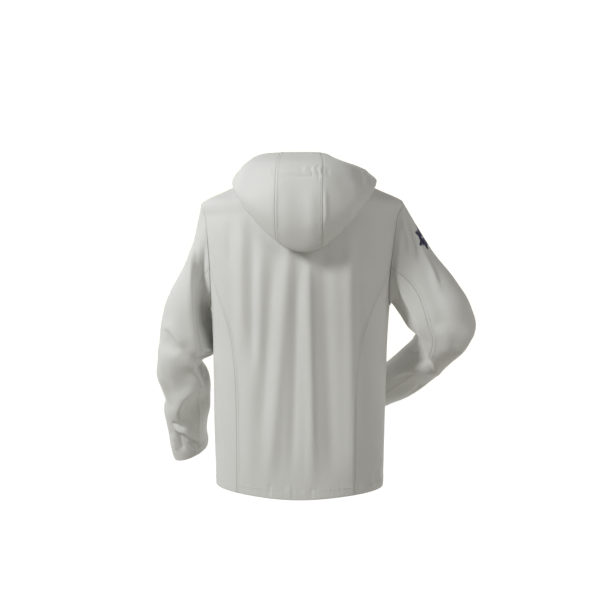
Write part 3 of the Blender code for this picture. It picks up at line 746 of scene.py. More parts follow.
@dataclass
class HoodForm:
    """The hood, down on the back, as profiles from the neckline to the edge round the face.

    across is -1 and 1 at the zip and 0 at the middle of the back; up goes from 0 at the neckline to 1 at the edge.
    The stations ahead of the shoulders are the same on both sides.
    """

    points_named = ("turn", "under", "low", "fold", "belly", "crown", "brow", "edge")
    places = (0, 0.045, 0.085, 0.24, 0.40, 0.50, 0.60, 0.74, 0.88, 1.0)
    back_stations = (
        (-0.68, ((-88, -8, 8), (-108, -9, -8), (-134, -11, -20), (-148, -12, -36),
                 (-153, -12, -28), (-150, -12, -14), (-144, -10, -5), (-134, -8, 1))),
        (-0.52, ((-84, 32, 16), (-106, 44, -8), (-136, 62, -40), (-150, 76, -64),
                 (-160, 76, -48), (-149, 66, -23), (-133, 50, -2), (-113, 34, 10))),
        (-0.36, ((-68, 60, 20), (-90, 92, -22), (-108, 118, -74), (-119, 138, -112),
                 (-130, 144, -84), (-126, 132, -38), (-110, 104, 4), (-80, 66, 21))),
        (-0.18, ((-38, 78, 22), (-50, 120, -46), (-58, 142, -124), (-63, 158, -168),
                 (-66, 180, -126), (-66, 176, -52), (-63, 142, 6), (-52, 80, 33))),
        (0.00, ((0, 83, 22), (-3, 126, -54), (-6, 144, -136), (-8, 160, -182),
                (-8, 184, -134), (-8, 182, -56), (-7, 150, 6), (-4, 84, 35))),
        (0.18, ((38, 78, 22), (44, 120, -46), (47, 142, -112), (48, 158, -155),
                (50, 180, -118), (50, 176, -52), (49, 142, 8), (46, 80, 35))),
        (0.36, ((68, 60, 20), (86, 92, -20), (98, 118, -62), (106, 138, -94),
                (117, 144, -72), (118, 132, -34), (105, 104, 10), (86, 66, 33))),
        (0.52, ((84, 32, 16), (102, 44, -6), (122, 62, -32), (137, 76, -54),
                (143, 76, -40), (135, 66, -13), (122, 50, 11), (108, 34, 26))),
        (0.68, ((88, -8, 8), (106, -9, -6), (128, -11, -18), (146, -12, -32),
                (147, -12, -24), (144, -12, -8), (137, -10, 5), (126, -8, 13))),
    )
    front_stations = (
        (0.84, ((66, -52, -24), (76, -62, -30), (88, -72, -38), (98, -78, -42),
                (106, -78, -34), (108, -72, -26), (106, -66, -18), (102, -60, -12))),
        (0.92, ((42, -67, -33), (50, -76, -37), (60, -86, -42), (69, -91, -44),
                (76, -90, -35), (77, -84, -25), (74, -78, -16), (68, -73, -9))),
        (1.00, ((6.8, -71, -44), (6.8, -73, -40), (6.8, -75, -35), (6.8, -77, -31),
                (6.8, -78, -27), (6.8, -79, -23), (6.8, -80, -19), (6.8, -81, -14))),
    )
    stations = (
        *((-across, tuple((-x, y, z) for x, y, z in profile)) for across, profile in reversed(front_stations)),
        *back_stations,
        *front_stations,
    )
    neck_across = (0, 0.18, 0.36, 0.52, 0.68, 0.84, 0.92, 1.0)
    neck_turns = (90, 62.7, 38.4, 20, -4.5, -36, -60, -84.6)
    seam_across: float = 0.155
    collar_stand: float = 13.0
    clearance: float = 6.0
    least_clearance: float = 3.0
    push_size: tuple[int, int] = (80, 60)
    push: np.ndarray = field(init=False)

    def __post_init__(self) -> None:
        """Works out how far the hood moves to stay clear of the torso, on an even grid."""
        across, up = np.meshgrid(np.linspace(-1, 1, self.push_size[0] + 1), np.linspace(0, 1, self.push_size[1] + 1),
                                 indexing="ij")
        points = self.profiled(across, up)
        lift = (ease(up, 0.06, 0.24) * (1 - ease(np.abs(across), 0.9, 1.0)))[..., None]
        moved = (TORSO.cleared(points, self.clearance) - points) * lift
        worst = np.argmax(np.linalg.norm(moved, axis=-1), axis=1)
        carried = moved[np.arange(len(worst)), worst][:, None] * lift
        carried = carried * (1 - 0.75 * ease(up, 0.55, 0.85))[..., None]
        rest = (TORSO.cleared(points + carried, self.least_clearance) - points - carried) * lift
        push = carried + rest
        for _ in range(2):
            push[1:-1] = (push[:-2] + 2 * push[1:-1] + push[2:]) / 4
        self.push = push

    def profiled(self, across, up) -> np.ndarray:
        """The hood before it is moved clear of the torso: cubic curves up the profiles and across the stations.

        Args:
            across: -1 to 1.
            up: 0 to 1.

        Returns:
            Points.
        """
        across, up = np.broadcast_arrays(np.asarray(across, float), np.asarray(up, float))
        knots = np.array([row[0] for row in self.stations])
        profiles = np.array([row[1] for row in self.stations], float)
        count = len(self.points_named)
        lines = smooth(knots, profiles.reshape(len(knots), -1), across).reshape(*across.shape, count, 3)
        turn = smooth(self.neck_across, self.neck_turns, np.abs(across))
        sewn = TORSO.point(np.where(across >= 0, turn, 180 - turn), np.zeros(across.shape))
        inward = unit(sewn * (-1, -1, 0))
        neck = sewn + inward * 0.6
        stand = neck + (0, 0, self.collar_stand) + inward * (0.5, 0.5, 0)
        lines = np.concatenate([neck[..., None, :], stand[..., None, :], lines], axis=-2)
        return curve_points(lines, np.array(self.places), up, 1.3)

    def point(self, across, up) -> np.ndarray:
        """The hood's outer face.

        Args:
            across: -1 to 1.
            up: 0 to 1.

        Returns:
            Points: the profiled form, moved clear of the torso.
        """
        across, up = np.broadcast_arrays(np.asarray(across, float), np.asarray(up, float))
        return self.profiled(across, up) + bilinear(self.push, (across + 1) / 2, up)

    def normals(self, across, up) -> np.ndarray:
        """Directions straight out of the hood's outer face.

        Args:
            across: -1 to 1.
            up: 0 to 1.

        Returns:
            Unit normals.
        """
        return -normal_field(self.point, across, up, (0.02, 0.006), (0, 1))


# Finishes

@dataclass
class NodeWriter:
    """Adds nodes to the tree of a material or of the world.

    Attributes:
        tree: the node tree.
    """

    tree: bpy.types.NodeTree

    def feed(self, node: bpy.types.Node, inputs: dict) -> bpy.types.Node:
        """Sets or links the sockets of a node.

        Args:
            node: the node.
            inputs: for each socket, by name or number, its value or the output that feeds it.

        Returns:
            The node.
        """
        for name, value in inputs.items():
            if isinstance(value, bpy.types.NodeSocket):
                self.tree.links.new(value, node.inputs[name])
            else:
                node.inputs[name].default_value = value
        return node

    def add(self, kind: str, inputs: dict | None = None, **settings) -> bpy.types.Node:
        """A new node.

        Args:
            kind: its type, without the words before it.
            inputs: as for feed.
            settings: its own settings, by name.

        Returns:
            The node.
        """
        node = self.tree.nodes.new("ShaderNode" + kind)
        for name, value in settings.items():
            setattr(node, name, value)
        return self.feed(node, inputs or {})

    def blend(self, first, second, factor: bpy.types.NodeSocket) -> bpy.types.NodeSocket:
        """A blend of two colours.

        Args:
            first: the colour where the factor is 0, or the output that gives it.
            second: the colour where it is 1.
            factor: the output that blends them.

        Returns:
            The blended colour's output.
        """
        return self.add("Mix", {"A": first, "B": second, "Factor": factor}, data_type="RGBA").outputs["Result"]

    def ramp(self, place: str, span: tuple[float, float], values: tuple[float, float]) -> bpy.types.NodeSocket:
        """A smooth change of a value along Y.

        Args:
            place: the kind of coordinates.
            span: where the change starts and ends.
            values: the values there.

        Returns:
            The value's output.
        """
        split = self.add("SeparateXYZ", {"Vector": self.add("TexCoord").outputs[place]})
        inputs = {"From Min": span[0], "From Max": span[1], "To Min": values[0], "To Max": values[1],
                  "Value": split.outputs["Y"]}
        return self.add("MapRange", inputs, interpolation_type="SMOOTHSTEP").outputs["Result"]


@dataclass(frozen=True)
class Finish:
    """What a surface is made of.

    Attributes:
        name: the material's name.
        colour: linear colour.
    """

    name: str
    colour: tuple[float, float, float]

    def material(self) -> bpy.types.Material:
        """The finish as a material.

        Returns:
            The material, made once.
        """
        made = bpy.data.materials.get(self.name)
        if made is None:
            made = bpy.data.materials.new(self.name)
            made.use_nodes = True
            writer = NodeWriter(made.node_tree)
            writer.feed(made.node_tree.nodes["Principled BSDF"], self.sockets(writer))
        return made

    def tones(self, writer: NodeWriter, dark: float, light: float, factor: bpy.types.NodeSocket):
        """The colour between a darker and a lighter tone of itself.

        Args:
            writer: of the material's tree.
            dark: share of the colour where the factor is 0.
            light: share of it where the factor is 1.
            factor: the output that blends them.

        Returns:
            The blended colour's output.
        """
        return writer.blend(*((*(share * value for value in self.colour), 1) for share in (dark, light)), factor)

    def sockets(self, writer: NodeWriter) -> dict:
        """What the shader's sockets take.

        Args:
            writer: of the material's tree.

        Returns:
            For each socket its value, or the output that feeds it.
        """
        raise NotImplementedError


@dataclass(frozen=True)
class ClothFinish(Finish):
    """A light woven shell cloth: thread waves on the piece's own flat pattern, faint rumples, tone and painted seam
    shade.

    Attributes:
        painted_seam_shade: linear colour of the shade painted at the bottom of a seam and along its stitches.
        roughness: of its surface.
        sheen: weight of the faint sheen.
        pitch: millimetres from thread to thread of the weave shown.
        weave: depth of the weave in millimetres.
        rumple: depth of the faint rumples in millimetres.
        bands_per_metre: scale at which the wave texture has one band a millimetre.
    """

    painted_seam_shade: tuple[float, float, float]
    roughness: float = 0.62
    sheen: float = 0.12
    pitch: float = 0.9
    weave: float = 0.03
    rumple: float = 0.5
    bands_per_metre = 1000 * 0.3142

    def sockets(self, writer: NodeWriter) -> dict:
        """What the shader's sockets take.

        Args:
            writer: of the material's tree.

        Returns:
            For each socket its value, or the output that feeds it.
        """
        flat = writer.add("UVMap", uv_map="cut").outputs["UV"]
        place = writer.add("TexCoord").outputs["Object"]
        tone = writer.add("TexNoise", {"Scale": 9.0, "Detail": 3.0, "Vector": place}).outputs["Fac"]
        shades = self.tones(writer, 0.965, 1.02, tone)
        # Mask of the shade painted into the colour at the bottom of seams and along stitches.
        seams = writer.add("Attribute", attribute_name="seam").outputs["Fac"]
        waves = [
            writer.add("TexWave", {"Scale": self.bands_per_metre / self.pitch, "Distortion": 0.4, "Detail": 1.0,
                                   "Vector": flat}, wave_type="BANDS", bands_direction=direction).outputs["Fac"]
            for direction in ("X", "Y")
        ]
        threads = writer.add("Math", dict(enumerate(waves)), operation="MULTIPLY")
        fine = writer.add("Bump", {"Strength": 0.5, "Distance": self.weave * MM, "Height": threads.outputs["Value"]})
        rumples = writer.add("TexNoise", {"Scale": 26.0, "Detail": 2.5, "Roughness": 0.45, "Vector": place})
        broad = writer.add("Bump", {"Strength": 0.6, "Distance": self.rumple * MM, "Height": rumples.outputs["Fac"],
                                    "Normal": fine.outputs["Normal"]})
        return {
            "Roughness": self.roughness,
            "Sheen Weight": self.sheen,
            "Sheen Roughness": 0.5,
            "Specular IOR Level": 0.35,
            # Painted shade: the base colour darkens towards painted_seam_shade where the seam mask is high.
            "Base Color": writer.blend(shades, (*self.painted_seam_shade, 1), seams),
            "Normal": broad.outputs["Normal"],
        }


@dataclass(frozen=True)
class HardFinish(Finish):
    """A smooth or lightly grained hard surface, with its tone and bump from one noise on object coordinates.

    Attributes:
        roughness: of its surface.
        metallic: 0 or 1.
        grain: depth of its grain in millimetres.
        coat: weight of a clear coat.
    """

    roughness: float
    metallic: float = 0.0
    grain: float = 0.02
    coat: float = 0.0

    def sockets(self, writer: NodeWriter) -> dict:
        """What the shader's sockets take.

        Args:
            writer: of the material's tree.

        Returns:
            For each socket its value, or the output that feeds it.
        """
        place = writer.add("TexCoord").outputs["Object"]
        noise = writer.add("TexNoise", {"Scale": 700.0, "Detail": 2.0, "Vector": place}).outputs["Fac"]
        bump = writer.add("Bump", {"Strength": 0.4, "Distance": self.grain * MM, "Height": noise})
        return {
            "Roughness": self.roughness,
            "Metallic": self.metallic,
            "Coat Weight": self.coat,
            "Base Color": self.tones(writer, 0.93, 1.04, noise),
            "Normal": bump.outputs["Normal"],
        }


@dataclass(frozen=True)
class FloorFinish(Finish):
    """A matt floor that glows where it meets the white surround ahead of the garment.

    Attributes:
        roughness: of its surface.
        glow: strength of the glow.
        glow_span: where along Y it starts to fade and where it has faded, in metres.
    """

    roughness: float = 0.9
    glow: float = 0.9
    glow_span: tuple[float, float] = (-0.9, -0.3)

    def sockets(self, writer: NodeWriter) -> dict:
        """What the shader's sockets take.

        Args:
            writer: of the material's tree.

        Returns:
            For each socket its value, or the output that feeds it.
        """
        return {
            "Base Color": (*self.colour, 1),
            "Roughness": self.roughness,
            "Emission Color": (1, 1, 1, 1),
            "Emission Strength": writer.ramp("Object", self.glow_span, (self.glow, 0.0)),
        }


# Its third colour is the painted seam shade.
SHELL = ClothFinish("shell cloth", (0.765, 0.77, 0.75), (0.60, 0.595, 0.57))
TAPE = ClothFinish("zip tape", (0.62, 0.63, 0.61), (0.5, 0.5, 0.48), roughness=0.8, pitch=0.7, weave=0.08, rumple=0.0)
THREAD = HardFinish("sewing thread", (0.70, 0.70, 0.68), 0.75)
TEETH = HardFinish("moulded teeth", (0.66, 0.66, 0.645), 0.42, coat=0.1)
ENAMEL = HardFinish("enamelled metal", (0.58, 0.58, 0.57), 0.34, grain=0.01, coat=0.4)
PRINT = HardFinish("violet navy print", (0.035, 0.026, 0.095), 0.5)
FLOOR = FloorFinish("pale floor", (0.50, 0.48, 0.44))


# Edges of cloth pieces

@dataclass(frozen=True)
class EdgeFinish:
    """How one edge of a piece is made up.

    Attributes:
        offsets: distances from the edge, in millimetres, at which the mesh has lines.
        groove: depth of the groove along the edge.
        band: width of the doubled cloth beside the edge.
        rise: how far the doubled cloth stands proud.
        stitch: index in offsets of the line that is stitched, or None.
        pucker: depth of the small puckers along the stitched line.
        groove_reach: how far from the edge the groove reaches.
        dimple: how deep the stitches pull the cloth in.
        dimple_reach: how far beside the stitches they do so.
        pucker_waves: size, radians for each millimetre, and start of the waves that the puckers add up from.
    """

    offsets: tuple[float, ...]
    groove: float = 0.0
    band: float = 0.0
    rise: float = 0.0
    stitch: int | None = None
    pucker: float = 0.0
    groove_reach = 1.1
    dimple = 0.16
    dimple_reach = 0.9
    pucker_waves = ((1.0, 0.62, 0.0), (0.7, 0.37, 1.3), (0.5, 1.07, 0.4))

    def lift(self, distance: np.ndarray, along: np.ndarray) -> np.ndarray:
        """How far the edge's make-up lifts points.

        Args:
            distance: millimetres from the edge.
            along: millimetres along it.

        Returns:
            Groove at the edge, step of the doubled cloth, dimple at the stitches, and puckers beside them.
        """
        lift = -self.groove * np.exp(-((distance / self.groove_reach) ** 2))
        if self.band:
            lift = lift + self.rise * (1 - ease(distance, self.band - 0.3, self.band + 1.6))
        if self.stitch is not None:
            away = distance - self.offsets[self.stitch]
            lift = lift - self.dimple * np.exp(-((away / self.dimple_reach) ** 2))
            wave = sum(size * np.sin(along * rate + start) for size, rate, start in self.pucker_waves)
            lift = lift + self.pucker * wave * np.exp(-((away / (5.0 + self.band / 4)) ** 2))
        return lift


class Edge(Enum):
    """Kinds of edge."""

    SEAM = EdgeFinish((0, 0.7, 1.5, 2.6, 4.0, 5.4, 7.0, 9.5), groove=0.55)
    FELLED = EdgeFinish((0, 0.6, 1.3, 2.4, 4.0, 5.0, 6.4, 8.6, 12), groove=0.55, band=5.8, rise=0.3, stitch=5,
                        pucker=0.08)
    HEM = EdgeFinish((0, 0.5, 1.4, 4, 8, 12, 15.8, 17.0, 18.0, 19.4, 21.5, 25), groove=0.35, band=18.2, rise=0.5,
                     stitch=7, pucker=0.16)
    RIM = EdgeFinish((0, 0.5, 1.4, 4, 8, 12, 14.6, 16.0, 17.2, 19.0, 22), groove=0.35, band=17.0, rise=0.55,
                     stitch=7, pucker=0.14)


@dataclass(frozen=True)
class Cut:
    """The flat cut of a piece, in metres.

    Attributes:
        width: greatest width.
        length: greatest length.
        area: flat area in square metres.
    """

    width: float
    length: float
    area: float


@dataclass
class Skin:
    """A displaced grid of a cloth piece, in millimetres.

    Attributes:
        points: rows, columns, x y z.
        normals: outward unit normals.
        flat: rows, columns, the two places on the flat cut.
        seam: 0 to 1, how much painted shade each point gets, deep in a seam or on a row of stitches.
    """

    points: np.ndarray
    normals: np.ndarray
    flat: np.ndarray
    seam: np.ndarray


class MeshWriter:
    """Turns numpy arrays into mesh objects."""

    @staticmethod
    def add(name: str, points: np.ndarray, faces: np.ndarray, material: bpy.types.Material,
            smooth_faces: bool = True) -> bpy.types.Object:
        """A mesh object at the origin.

        Args:
            name: the object's name.
            points: n by 3, in millimetres.
            faces: m by 3 or m by 4 indices.
            material: its material.
            smooth_faces: whether it is shaded smooth.

        Returns:
            The object, linked to the scene.
        """
        mesh = bpy.data.meshes.new(name)
        sides = faces.shape[1]
        mesh.vertices.add(len(points))
        mesh.vertices.foreach_set("co", (np.asarray(points, np.float32) * MM).ravel())
        mesh.loops.add(faces.size)
        mesh.loops.foreach_set("vertex_index", faces.astype(np.int32).ravel())
        mesh.polygons.add(len(faces))
        mesh.polygons.foreach_set("loop_start", np.arange(0, faces.size, sides, dtype=np.int32))
        mesh.polygons.foreach_set("use_smooth", np.full(len(faces), smooth_faces))
        mesh.update(calc_edges=True)
        mesh.materials.append(material)
        made = bpy.data.objects.new(name, mesh)
        bpy.context.scene.collection.objects.link(made)
        return made

    @staticmethod
    def wall(outer: np.ndarray, inner: np.ndarray, flip: bool = False) -> tuple[np.ndarray, np.ndarray]:
        """A closed wall between two grids of the same size.

        Args:
            outer: rows, columns, x y z of the outer face.
            inner: the same of the inner face.
            flip: whether the outer grid's cells are listed the other way round.

        Returns:
            Points, the outer ones first, and quads.
        """
        rows, columns = outer.shape[:2]
        index = np.arange(rows * columns).reshape(rows, columns)
        cells = np.stack([index[:-1, :-1], index[:-1, 1:], index[1:, 1:], index[1:, :-1]], axis=-1).reshape(-1, 4)
        rim = np.concatenate([index[0, :-1], index[:-1, -1], index[-1, :0:-1], index[:0:-1, 0]])
        ahead = np.roll(rim, -1)
        edge = np.stack([ahead, rim, rim + index.size, ahead + index.size], axis=-1)
        faces = np.concatenate([cells, cells[:, ::-1] + index.size, edge])
        points = np.concatenate([outer.reshape(-1, 3), inner.reshape(-1, 3)])
        return points, faces[:, ::-1] if flip else faces

    @staticmethod
    def unwrap(made: bpy.types.Object, faces: np.ndarray, flat: np.ndarray) -> None:
        """Writes a wall's flat cut as the map that its weave follows.

        Args:
            made: the wall's object.
            faces: its quads.
            flat: rows, columns, the two places of each point of one face on the cut, in millimetres.
        """
        both = np.concatenate([flat.reshape(-1, 2)] * 2) * MM
        made.data.uv_layers.new(name="cut").data.foreach_set("uv", both[faces.ravel()].astype(np.float32).ravel())

    @classmethod
    def join(cls, name: str, parts: list[tuple[np.ndarray, np.ndarray]],
             material: bpy.types.Material) -> bpy.types.Object:
        """Several meshes as one object.

        Args:
            name: the object's name.
            parts: points and faces of each.
            material: their material.

        Returns:
            The object.
        """
        starts = np.cumsum([0] + [len(points) for points, _ in parts])
        return cls.add(name, np.concatenate([points for points, _ in parts]),
                       np.concatenate([faces + start for (_, faces), start in zip(parts, starts)]), material)


@dataclass
class ClothPiece:
    """A sewn piece of shell cloth, as a thin closed wall.

    Attributes:
        name: the piece's name.
        node: the CAD node that it replaces.
        cut: its flat cut; not used.
        edges: finishes of the edges at the first and last column, and at the first and last row.
        folds: creases added to the solid's own form.
        thickness: of the cloth in millimetres, with what is sewn to its inside.
        seam_shade_reach: how far from a seam the painted seam shade reaches.
        stitch_shade: how strong the shade painted along the stitches is, from 0 to 1.
        stitch_shade_reach: how far beside them it reaches.
    """

    name: str
    node: str
    cut: Cut
    edges: tuple[Edge, Edge, Edge, Edge]
    folds: tuple[Crease, ...] = ()
    thickness: float = 1.0
    seam_shade_reach = 0.9
    stitch_shade = 0.3
    stitch_shade_reach = 0.8

    def base(self) -> tuple[np.ndarray, np.ndarray]:
        """The piece's form.

        Returns:
            Points and outward normals on the piece's grid.
        """
        raise NotImplementedError

    def shares_across(self, length: float, cells: int) -> np.ndarray:
        """Places of the columns from the first edge to the last, closer together at both.

        Args:
            length: the piece's breadth in millimetres.
            cells: cells between the graded stretches.

        Returns:
            Shares from 0 to 1.
        """
        return graded([length], [length], self.edges[0].value.offsets, self.edges[1].value.offsets, even(cells))[:, 0]

    def creased(self, points: np.ndarray, normals: np.ndarray) -> np.ndarray:
        """How far the creases lift the form.

        Args:
            points: the form's points.
            normals: its normals.

        Returns:
            Millimetres.
        """
        lift = np.zeros(points.shape[:-1])
        for crease in self.folds:
            lift = lift + crease.lift(points, normals)
        return lift

    def skin(self) -> Skin:
        """The outer skin with its creases and made-up edges.

        Returns:
            The displaced grid.
        """
        points, normals = self.base()
        points = points + normals * self.creased(points, normals)[..., None]
        normals = grid_normals(points, normals)
        across, up = lengths_along(points, 1), lengths_along(points, 0)
        distances = (across, across[:, -1:] - across, up, up[-1:] - up)
        # The seam mask paints shade into the cloth's colour at the bottom of its seams and along its stitches.
        lift, seam = np.zeros(across.shape), np.zeros(across.shape)
        for edge, distance, along in zip(self.edges, distances, (up, up, across, across)):
            lift = lift + edge.value.lift(distance, along)
            if edge in (Edge.SEAM, Edge.FELLED):
                seam = np.maximum(seam, np.exp(-((distance / self.seam_shade_reach) ** 2)))
            if edge.value.stitch is not None:
                away = distance - edge.value.offsets[edge.value.stitch]
                seam = np.maximum(seam, self.stitch_shade * np.exp(-((away / self.stitch_shade_reach) ** 2)))
        points = points + normals * lift[..., None]
        middle = across - across[:, -1:] / 2
        return Skin(points, grid_normals(points, normals), np.stack([middle, up], axis=-1), seam)

    def build(self) -> bpy.types.Object:
        """Makes the piece and its stitches, and puts them on the body.

        Returns:
            The piece.
        """
        skin = self.skin()
        row, place = (size // 2 for size in skin.points.shape[:2])
        middle = skin.points[row, place]
        facing = np.cross(skin.points[row, place + 1] - middle, skin.points[row + 1, place] - middle)
        points, faces = MeshWriter.wall(skin.points, skin.points - skin.normals * self.thickness,
                                        facing @ skin.normals[row, place] < 0)
        piece = MeshWriter.add(self.name, points, faces, SHELL.material())
        MeshWriter.unwrap(piece, faces, skin.flat)
        # The seam attribute carries the mask of painted seam shade to the material.
        seam = piece.data.attributes.new("seam", "FLOAT", "POINT")
        seam.data.foreach_set("value", np.concatenate([skin.seam.ravel()] * 2).astype(np.float32))
        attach(piece, BODY)
        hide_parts(self.node)
        stitches = self.stitches(skin)
        LOG.info("%s: %d points", self.name, len(points))
        return piece

    def stitches(self, skin: Skin) -> bpy.types.Object | None:
        """The piece's rows of stitches, on the lines that its edges name.

        Args:
            skin: the displaced grid.

        Returns:
            The stitches as one object, or None.
        """
        seams = []
        for place, edge in enumerate(self.edges):
            if edge.value.stitch is None:
                continue
            k = edge.value.stitch if place % 2 == 0 else -1 - edge.value.stitch
            line = (slice(None), k) if place < 2 else (k, slice(None))
            seams.append(Stitching(skin.points[line], skin.normals[line]))
        return Stitching.build(self.name.replace("_cloth", "") + "_stitches", seams) if seams else None


@dataclass
class Stitching:
    """A row of lockstitches along a line.

    Attributes:
        line: points of the line in millimetres.
        normals: directions out of the cloth.
        pitch: length of one stitch with its hole.
        length: length of the thread that shows.
        radius: half thickness of the thread.
    """

    line: np.ndarray
    normals: np.ndarray
    pitch: float = 3.0
    length: float = 2.4
    radius: float = 0.26

    def tubes(self) -> tuple[np.ndarray, np.ndarray]:
        """Every stitch as a short tube that dips at both ends: circles swept along a low arch.

        Returns:
            Points and quads.
        """
        lengths = lengths_along(self.line)
        middles = np.arange(self.pitch, lengths[-1] - self.pitch / 2, self.pitch)
        at = at_lengths(self.line, lengths, middles)
        out = unit(at_lengths(self.normals, lengths, middles))
        ahead = at_lengths(self.line, lengths, middles + 0.5) - at
        ahead = unit(ahead - out * np.sum(ahead * out, axis=-1, keepdims=True))
        side = np.cross(out, ahead)
        along = np.array([-0.5, -0.36, 0.0, 0.36, 0.5]) * self.length
        height = np.array([-0.25, 0.1, 0.22, 0.1, -0.25])
        size = np.array([0.5, 0.9, 1.0, 0.9, 0.5]) * self.radius
        angle = np.radians(np.arange(0, 360, 72.0))
        template_side = size[:, None] * np.cos(angle)
        template_out = height[:, None] + size[:, None] * np.sin(angle)
        points = (
            at[:, None, None]
            + along[None, :, None, None] * ahead[:, None, None]
            + template_side[None, ..., None] * side[:, None, None]
            + template_out[None, ..., None] * out[:, None, None]
        )
        rings, sides = len(along), len(angle)
        index = np.arange(rings * sides).reshape(rings, sides)
        turned = np.roll(index, -1, axis=1)
        quads = np.stack([index[:-1], turned[:-1], turned[1:], index[1:]], axis=-1).reshape(-1, 4)
        faces = quads[None] + (np.arange(len(at)) * rings * sides)[:, None, None]
        return points.reshape(-1, 3), faces.reshape(-1, 4)

    @staticmethod
    def build(name: str, seams: list[Stitching]) -> bpy.types.Object:
        """All stitches of a piece as one object.

        Args:
            name: the object's name.
            seams: the rows of stitches.

        Returns:
            The object.
        """
        made = MeshWriter.join(name, [seam.tubes() for seam in seams], THREAD.material())
        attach(made, BODY)
        return made


# Cloth pieces

@dataclass
class TorsoPanel(ClothPiece):
    """A piece of the torso on a grid of turns and heights.

    Attributes:
        mirrored: whether it lies on the wearer's right.
        pitch: millimetres between the mesh's lines.
        shoulder_slope: millimetres along the shoulder for each millimetre of height.
        shoulder_rows: rows from the shoulder point to the neck's graded stretch.
        hole_step: degrees between rows along the armhole.
    """

    mirrored: bool = False
    pitch: float = 3.2
    shoulder_slope = 2.6
    shoulder_rows = 36
    hole_step = 1.75

    def rows(self, ahead: bool) -> tuple[np.ndarray, np.ndarray]:
        """Heights of the rows and the turn of the outer edge at each.

        Args:
            ahead: whether it is a front.

        Returns:
            Heights and turns.
        """
        meets = float(TORSO.armhole(TORSO.seams_meet)[1])
        hem = TORSO.hem + np.array(self.edges[2].value.offsets)
        below = np.concatenate([hem, np.linspace(hem[-1], meets, round((meets - hem[-1]) / self.pitch))[1:-1]])
        neck = -np.array(self.edges[3].value.offsets)[::-1] / self.shoulder_slope
        above = np.concatenate([np.linspace(TORSO.shoulder_point, neck[0], self.shoulder_rows)[1:-1], neck])
        return TORSO.panel_rows(ahead, below, self.hole_step, above)

    def surface(self, turns: np.ndarray, heights: np.ndarray) -> tuple[np.ndarray, np.ndarray]:
        """The form at turns and heights of the left side, mirrored if the piece is.

        Args:
            turns: degrees.
            heights: millimetres.

        Returns:
            Points and normals.
        """
        heights = np.broadcast_to(heights, turns.shape)
        turns = 180 - turns if self.mirrored else turns
        return TORSO.point(turns, heights), TORSO.normals(turns, heights)

    def spread(self, start: np.ndarray, end: np.ndarray, heights: np.ndarray, cells: int) -> np.ndarray:
        """Turns between two edges, closer together at both.

        Args:
            start: turn of the first edge at each row.
            end: turn of the last edge at each row.
            heights: the rows' heights.
            cells: cells between the graded stretches.

        Returns:
            Turns, rows by columns.
        """
        turns = start[:, None] + (end - start)[:, None] * np.linspace(0, 1, 33)
        points = TORSO.point(turns, np.broadcast_to(heights[:, None], turns.shape))
        length = np.linalg.norm(np.diff(points, axis=1), axis=-1).sum(axis=1)
        shares = graded(length, length, self.edges[0].value.offsets, self.edges[1].value.offsets, even(cells)).T
        return start[:, None] + (end - start)[:, None] * shares


@dataclass
class BackPanel(TorsoPanel):
    """The back, from side seam to side seam."""

    def base(self) -> tuple[np.ndarray, np.ndarray]:
        """The back's form.

        Returns:
            Points and normals.
        """
        heights, edge = self.rows(ahead=False)
        return self.surface(self.spread(edge, 180 - edge, heights, 112), heights[:, None])


@dataclass
class FrontPanel(TorsoPanel):
    """One front, from the side seam, armhole and shoulder seam to the zip."""

    zip_half_width: float = 6.3

    def base(self) -> tuple[np.ndarray, np.ndarray]:
        """The front's form.

        Returns:
            Points and normals.
        """
        heights, edge = self.rows(ahead=True)
        zip_edge = -90 + np.degrees(np.arcsin(self.zip_half_width / TORSO.ring("ahead", heights)))
        return self.surface(self.spread(edge, zip_edge, heights, 56), heights[:, None])


@dataclass
class SidePanel(TorsoPanel):
    """One side, whose top edge is the bottom of the armhole.

    Attributes:
        breadth: about how broad it is, in millimetres.
        columns: cells across between the graded stretches.
        samples: places at which the armhole's bottom is taken.
    """

    breadth = 110.0
    columns = 26
    samples = 49

    def base(self) -> tuple[np.ndarray, np.ndarray]:
        """The side's form: columns from the back seam to the front seam, rows from the hem to the armhole.

        Returns:
            Points and normals.
        """
        around = np.linspace(TORSO.seams_meet, 360 - TORSO.seams_meet, self.samples)
        top_turns, top = TORSO.armhole(around)
        hem_length = top.min() - TORSO.hem
        rise = graded([hem_length], [hem_length], self.edges[2].value.offsets, self.edges[3].value.offsets,
                      even(round(hem_length / self.pitch)))
        share = np.linspace(0, 1, self.samples)
        top_share = (top_turns[0] - top_turns) / (top_turns[0] - top_turns[-1])
        places = self.shares_across(self.breadth, self.columns)
        top = np.interp(places, share, top)
        top_share = np.interp(places, share, top_share)
        heights = TORSO.hem + (top - TORSO.hem) * rise
        back, front = (TORSO.side_edge(TORSO.hem + (top[i] - TORSO.hem) * rise, ahead)
                       for i, ahead in ((0, False), (-1, True)))
        blend = places + (top_share - places) * ease(rise, 0.3, 1.0)
        return self.surface(back + (front - back) * blend, heights)


